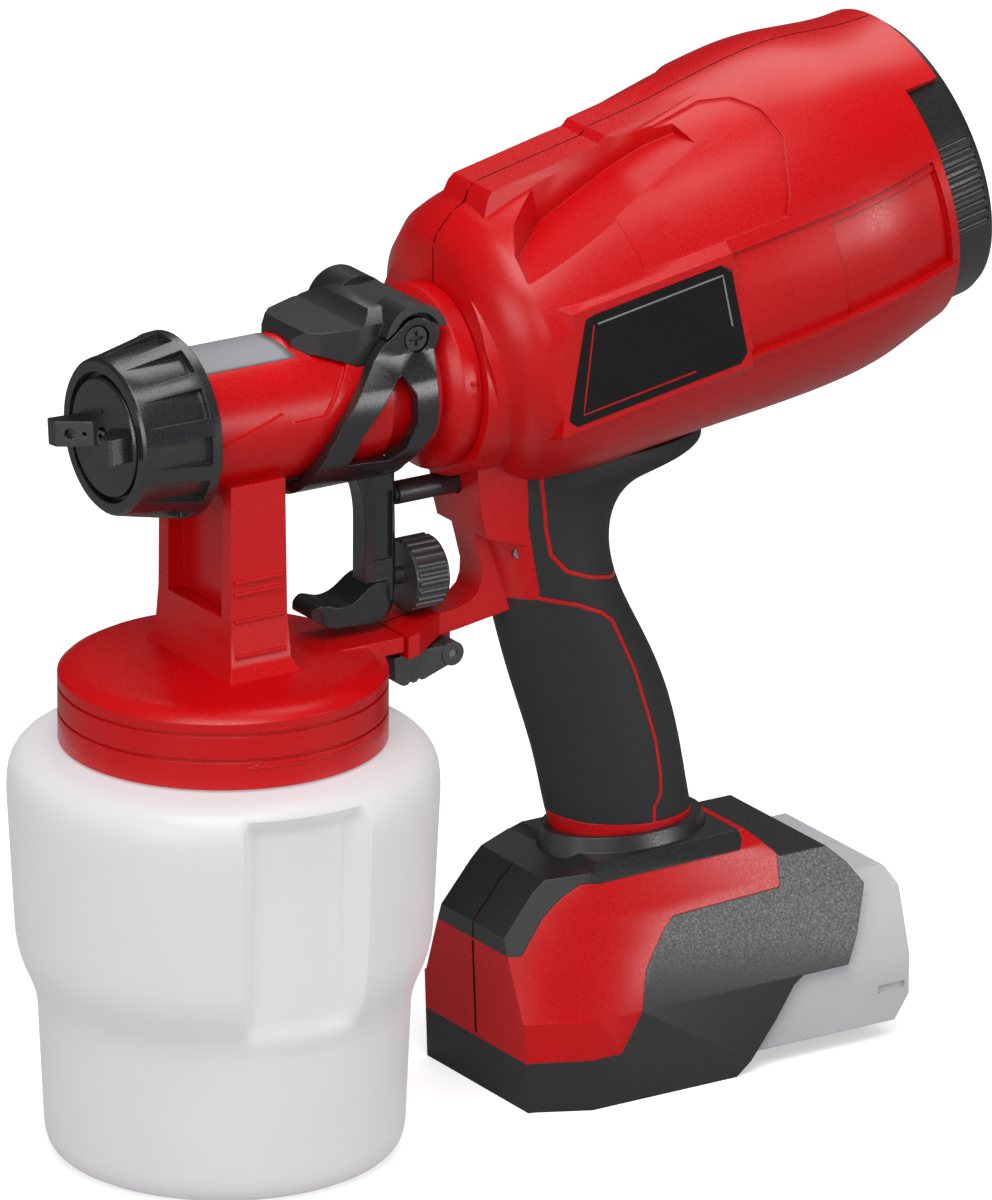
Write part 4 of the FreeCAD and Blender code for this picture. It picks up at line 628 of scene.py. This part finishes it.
def rounded(corners, steps=7):
    """A line through corners of (radius, height, ease), with each corner eased by a short curve."""
    line = []
    for i, (r, z, ease) in enumerate(corners):
        here = Vector((r, z))
        if i in (0, len(corners) - 1) or ease == 0:
            line.append(here)
            continue
        before = (Vector(corners[i - 1][:2]) - here).normalized() * ease
        after = (Vector(corners[i + 1][:2]) - here).normalized() * ease
        for k in range(steps + 1):
            f = k / steps
            line.append(here + before * (1 - f) ** 2 + after * f ** 2)
    return line


def filled(line, step=3.0):
    """Adds points along a line so that none of its runs is longer than a step."""
    full = [line[0]]
    for point in line[1:]:
        count = max(1, math.ceil((point - full[-1]).length / step))
        start = full[-1]
        full += [start.lerp(point, k / count) for k in range(1, count + 1)]
    return full


def smooth_step(x):
    """Goes from 0 to 1 as x does, with a soft start and end."""
    x = min(1.0, max(0.0, x))
    return x * x * (3 - 2 * x)


def in_window(angle, z):
    """How far a point of the wall is pushed into the window strip, from 0 to 1."""
    off = abs((angle - WINDOW_ANGLE + math.pi) % (2 * math.pi) - math.pi)
    share = smooth_step((WINDOW_HALF - off) / WINDOW_EASE + 0.5)
    return share * smooth_step((z - WINDOW_FOOT_Z) / 8) * smooth_step((WINDOW_TOP_Z - z) / 7)


cup_line = filled(rounded(CUP_PROFILE))
points = []
for point in cup_line:
    for k in range(CUP_AROUND):
        angle = 2 * math.pi * k / CUP_AROUND
        deep = min(WINDOW_DEEP, max(0.0, point.x - WINDOW_R))
        r = point.x - deep * in_window(angle, point.y)
        points.append(Vector((r * math.cos(angle), r * math.sin(angle), point.y)) * MM)
faces = []
for i in range(len(cup_line) - 1):
    for k in range(CUP_AROUND):
        a = i * CUP_AROUND + k
        b = i * CUP_AROUND + (k + 1) % CUP_AROUND
        faces.append((a, b, b + CUP_AROUND, a + CUP_AROUND))
faces.append(tuple(reversed(range(CUP_AROUND))))
mesh = bpy.data.meshes.new("cup")
mesh.from_pydata(points, [], faces)
mesh.shade_smooth()
mesh.set_sharp_from_angle(angle=math.radians(40))

# Milky polyethylene: a soft, slightly waxy white. Light gets a little way into the wall; beyond that a
# painted glow, an even emission, lifts it all over so that it has no dark side, and its base colour
# is set darker to make up for it. The blown wall is faintly uneven, in waves of about 14 mm.
CLOUD_MM = 35
WAVE_MM = 14
WAVE_DEEP = 0.12
SKIN_DEEP = 3
milky = new_material("milky blow-moulded polyethylene")
tree = milky.node_tree
spot = add(tree, "ShaderNodeTexCoord").outputs["Object"]
cloud = add(tree, "ShaderNodeTexNoise", {"Vector": spot, "Scale": 1 / (CLOUD_MM * MM), "Detail": 3.0})
tint = add(tree, "ShaderNodeMix", {0: cloud.outputs[0], 6: hex_linear("#B2AFB1"), 7: hex_linear("#BAB8BA")},
           data_type="RGBA")
waves = add(tree, "ShaderNodeTexNoise", {"Vector": spot, "Scale": 1 / (WAVE_MM * MM), "Detail": 2.0})
bump = add(tree, "ShaderNodeBump", {"Height": waves.outputs[0], "Strength": 0.3, "Distance": WAVE_DEEP * MM})
# The emission below is painted light: an even glow over the whole cup that stands in for light scattered through
# its wall.
wax = add(tree, "ShaderNodeBsdfPrincipled", {
    "Base Color": tint.outputs[2], "Roughness": 0.36, "Normal": bump.outputs[0], "IOR": 1.5,
    "Subsurface Weight": 0.3, "Subsurface Radius": (1.0, 1.0, 1.1), "Subsurface Scale": SKIN_DEEP * MM,
    "Emission Color": hex_linear("#F2F0F2"), "Emission Strength": 0.35})
add(tree, "ShaderNodeOutputMaterial", {"Surface": wax.outputs[0]})
mesh.materials.append(milky)
cup = placed("cup_look", mesh, "paint_cup", "cup_plastic", "cup")
wall = cup.modifiers.new("wall", "SOLIDIFY")
wall.thickness = CUP_WALL * MM
wall.offset = -1
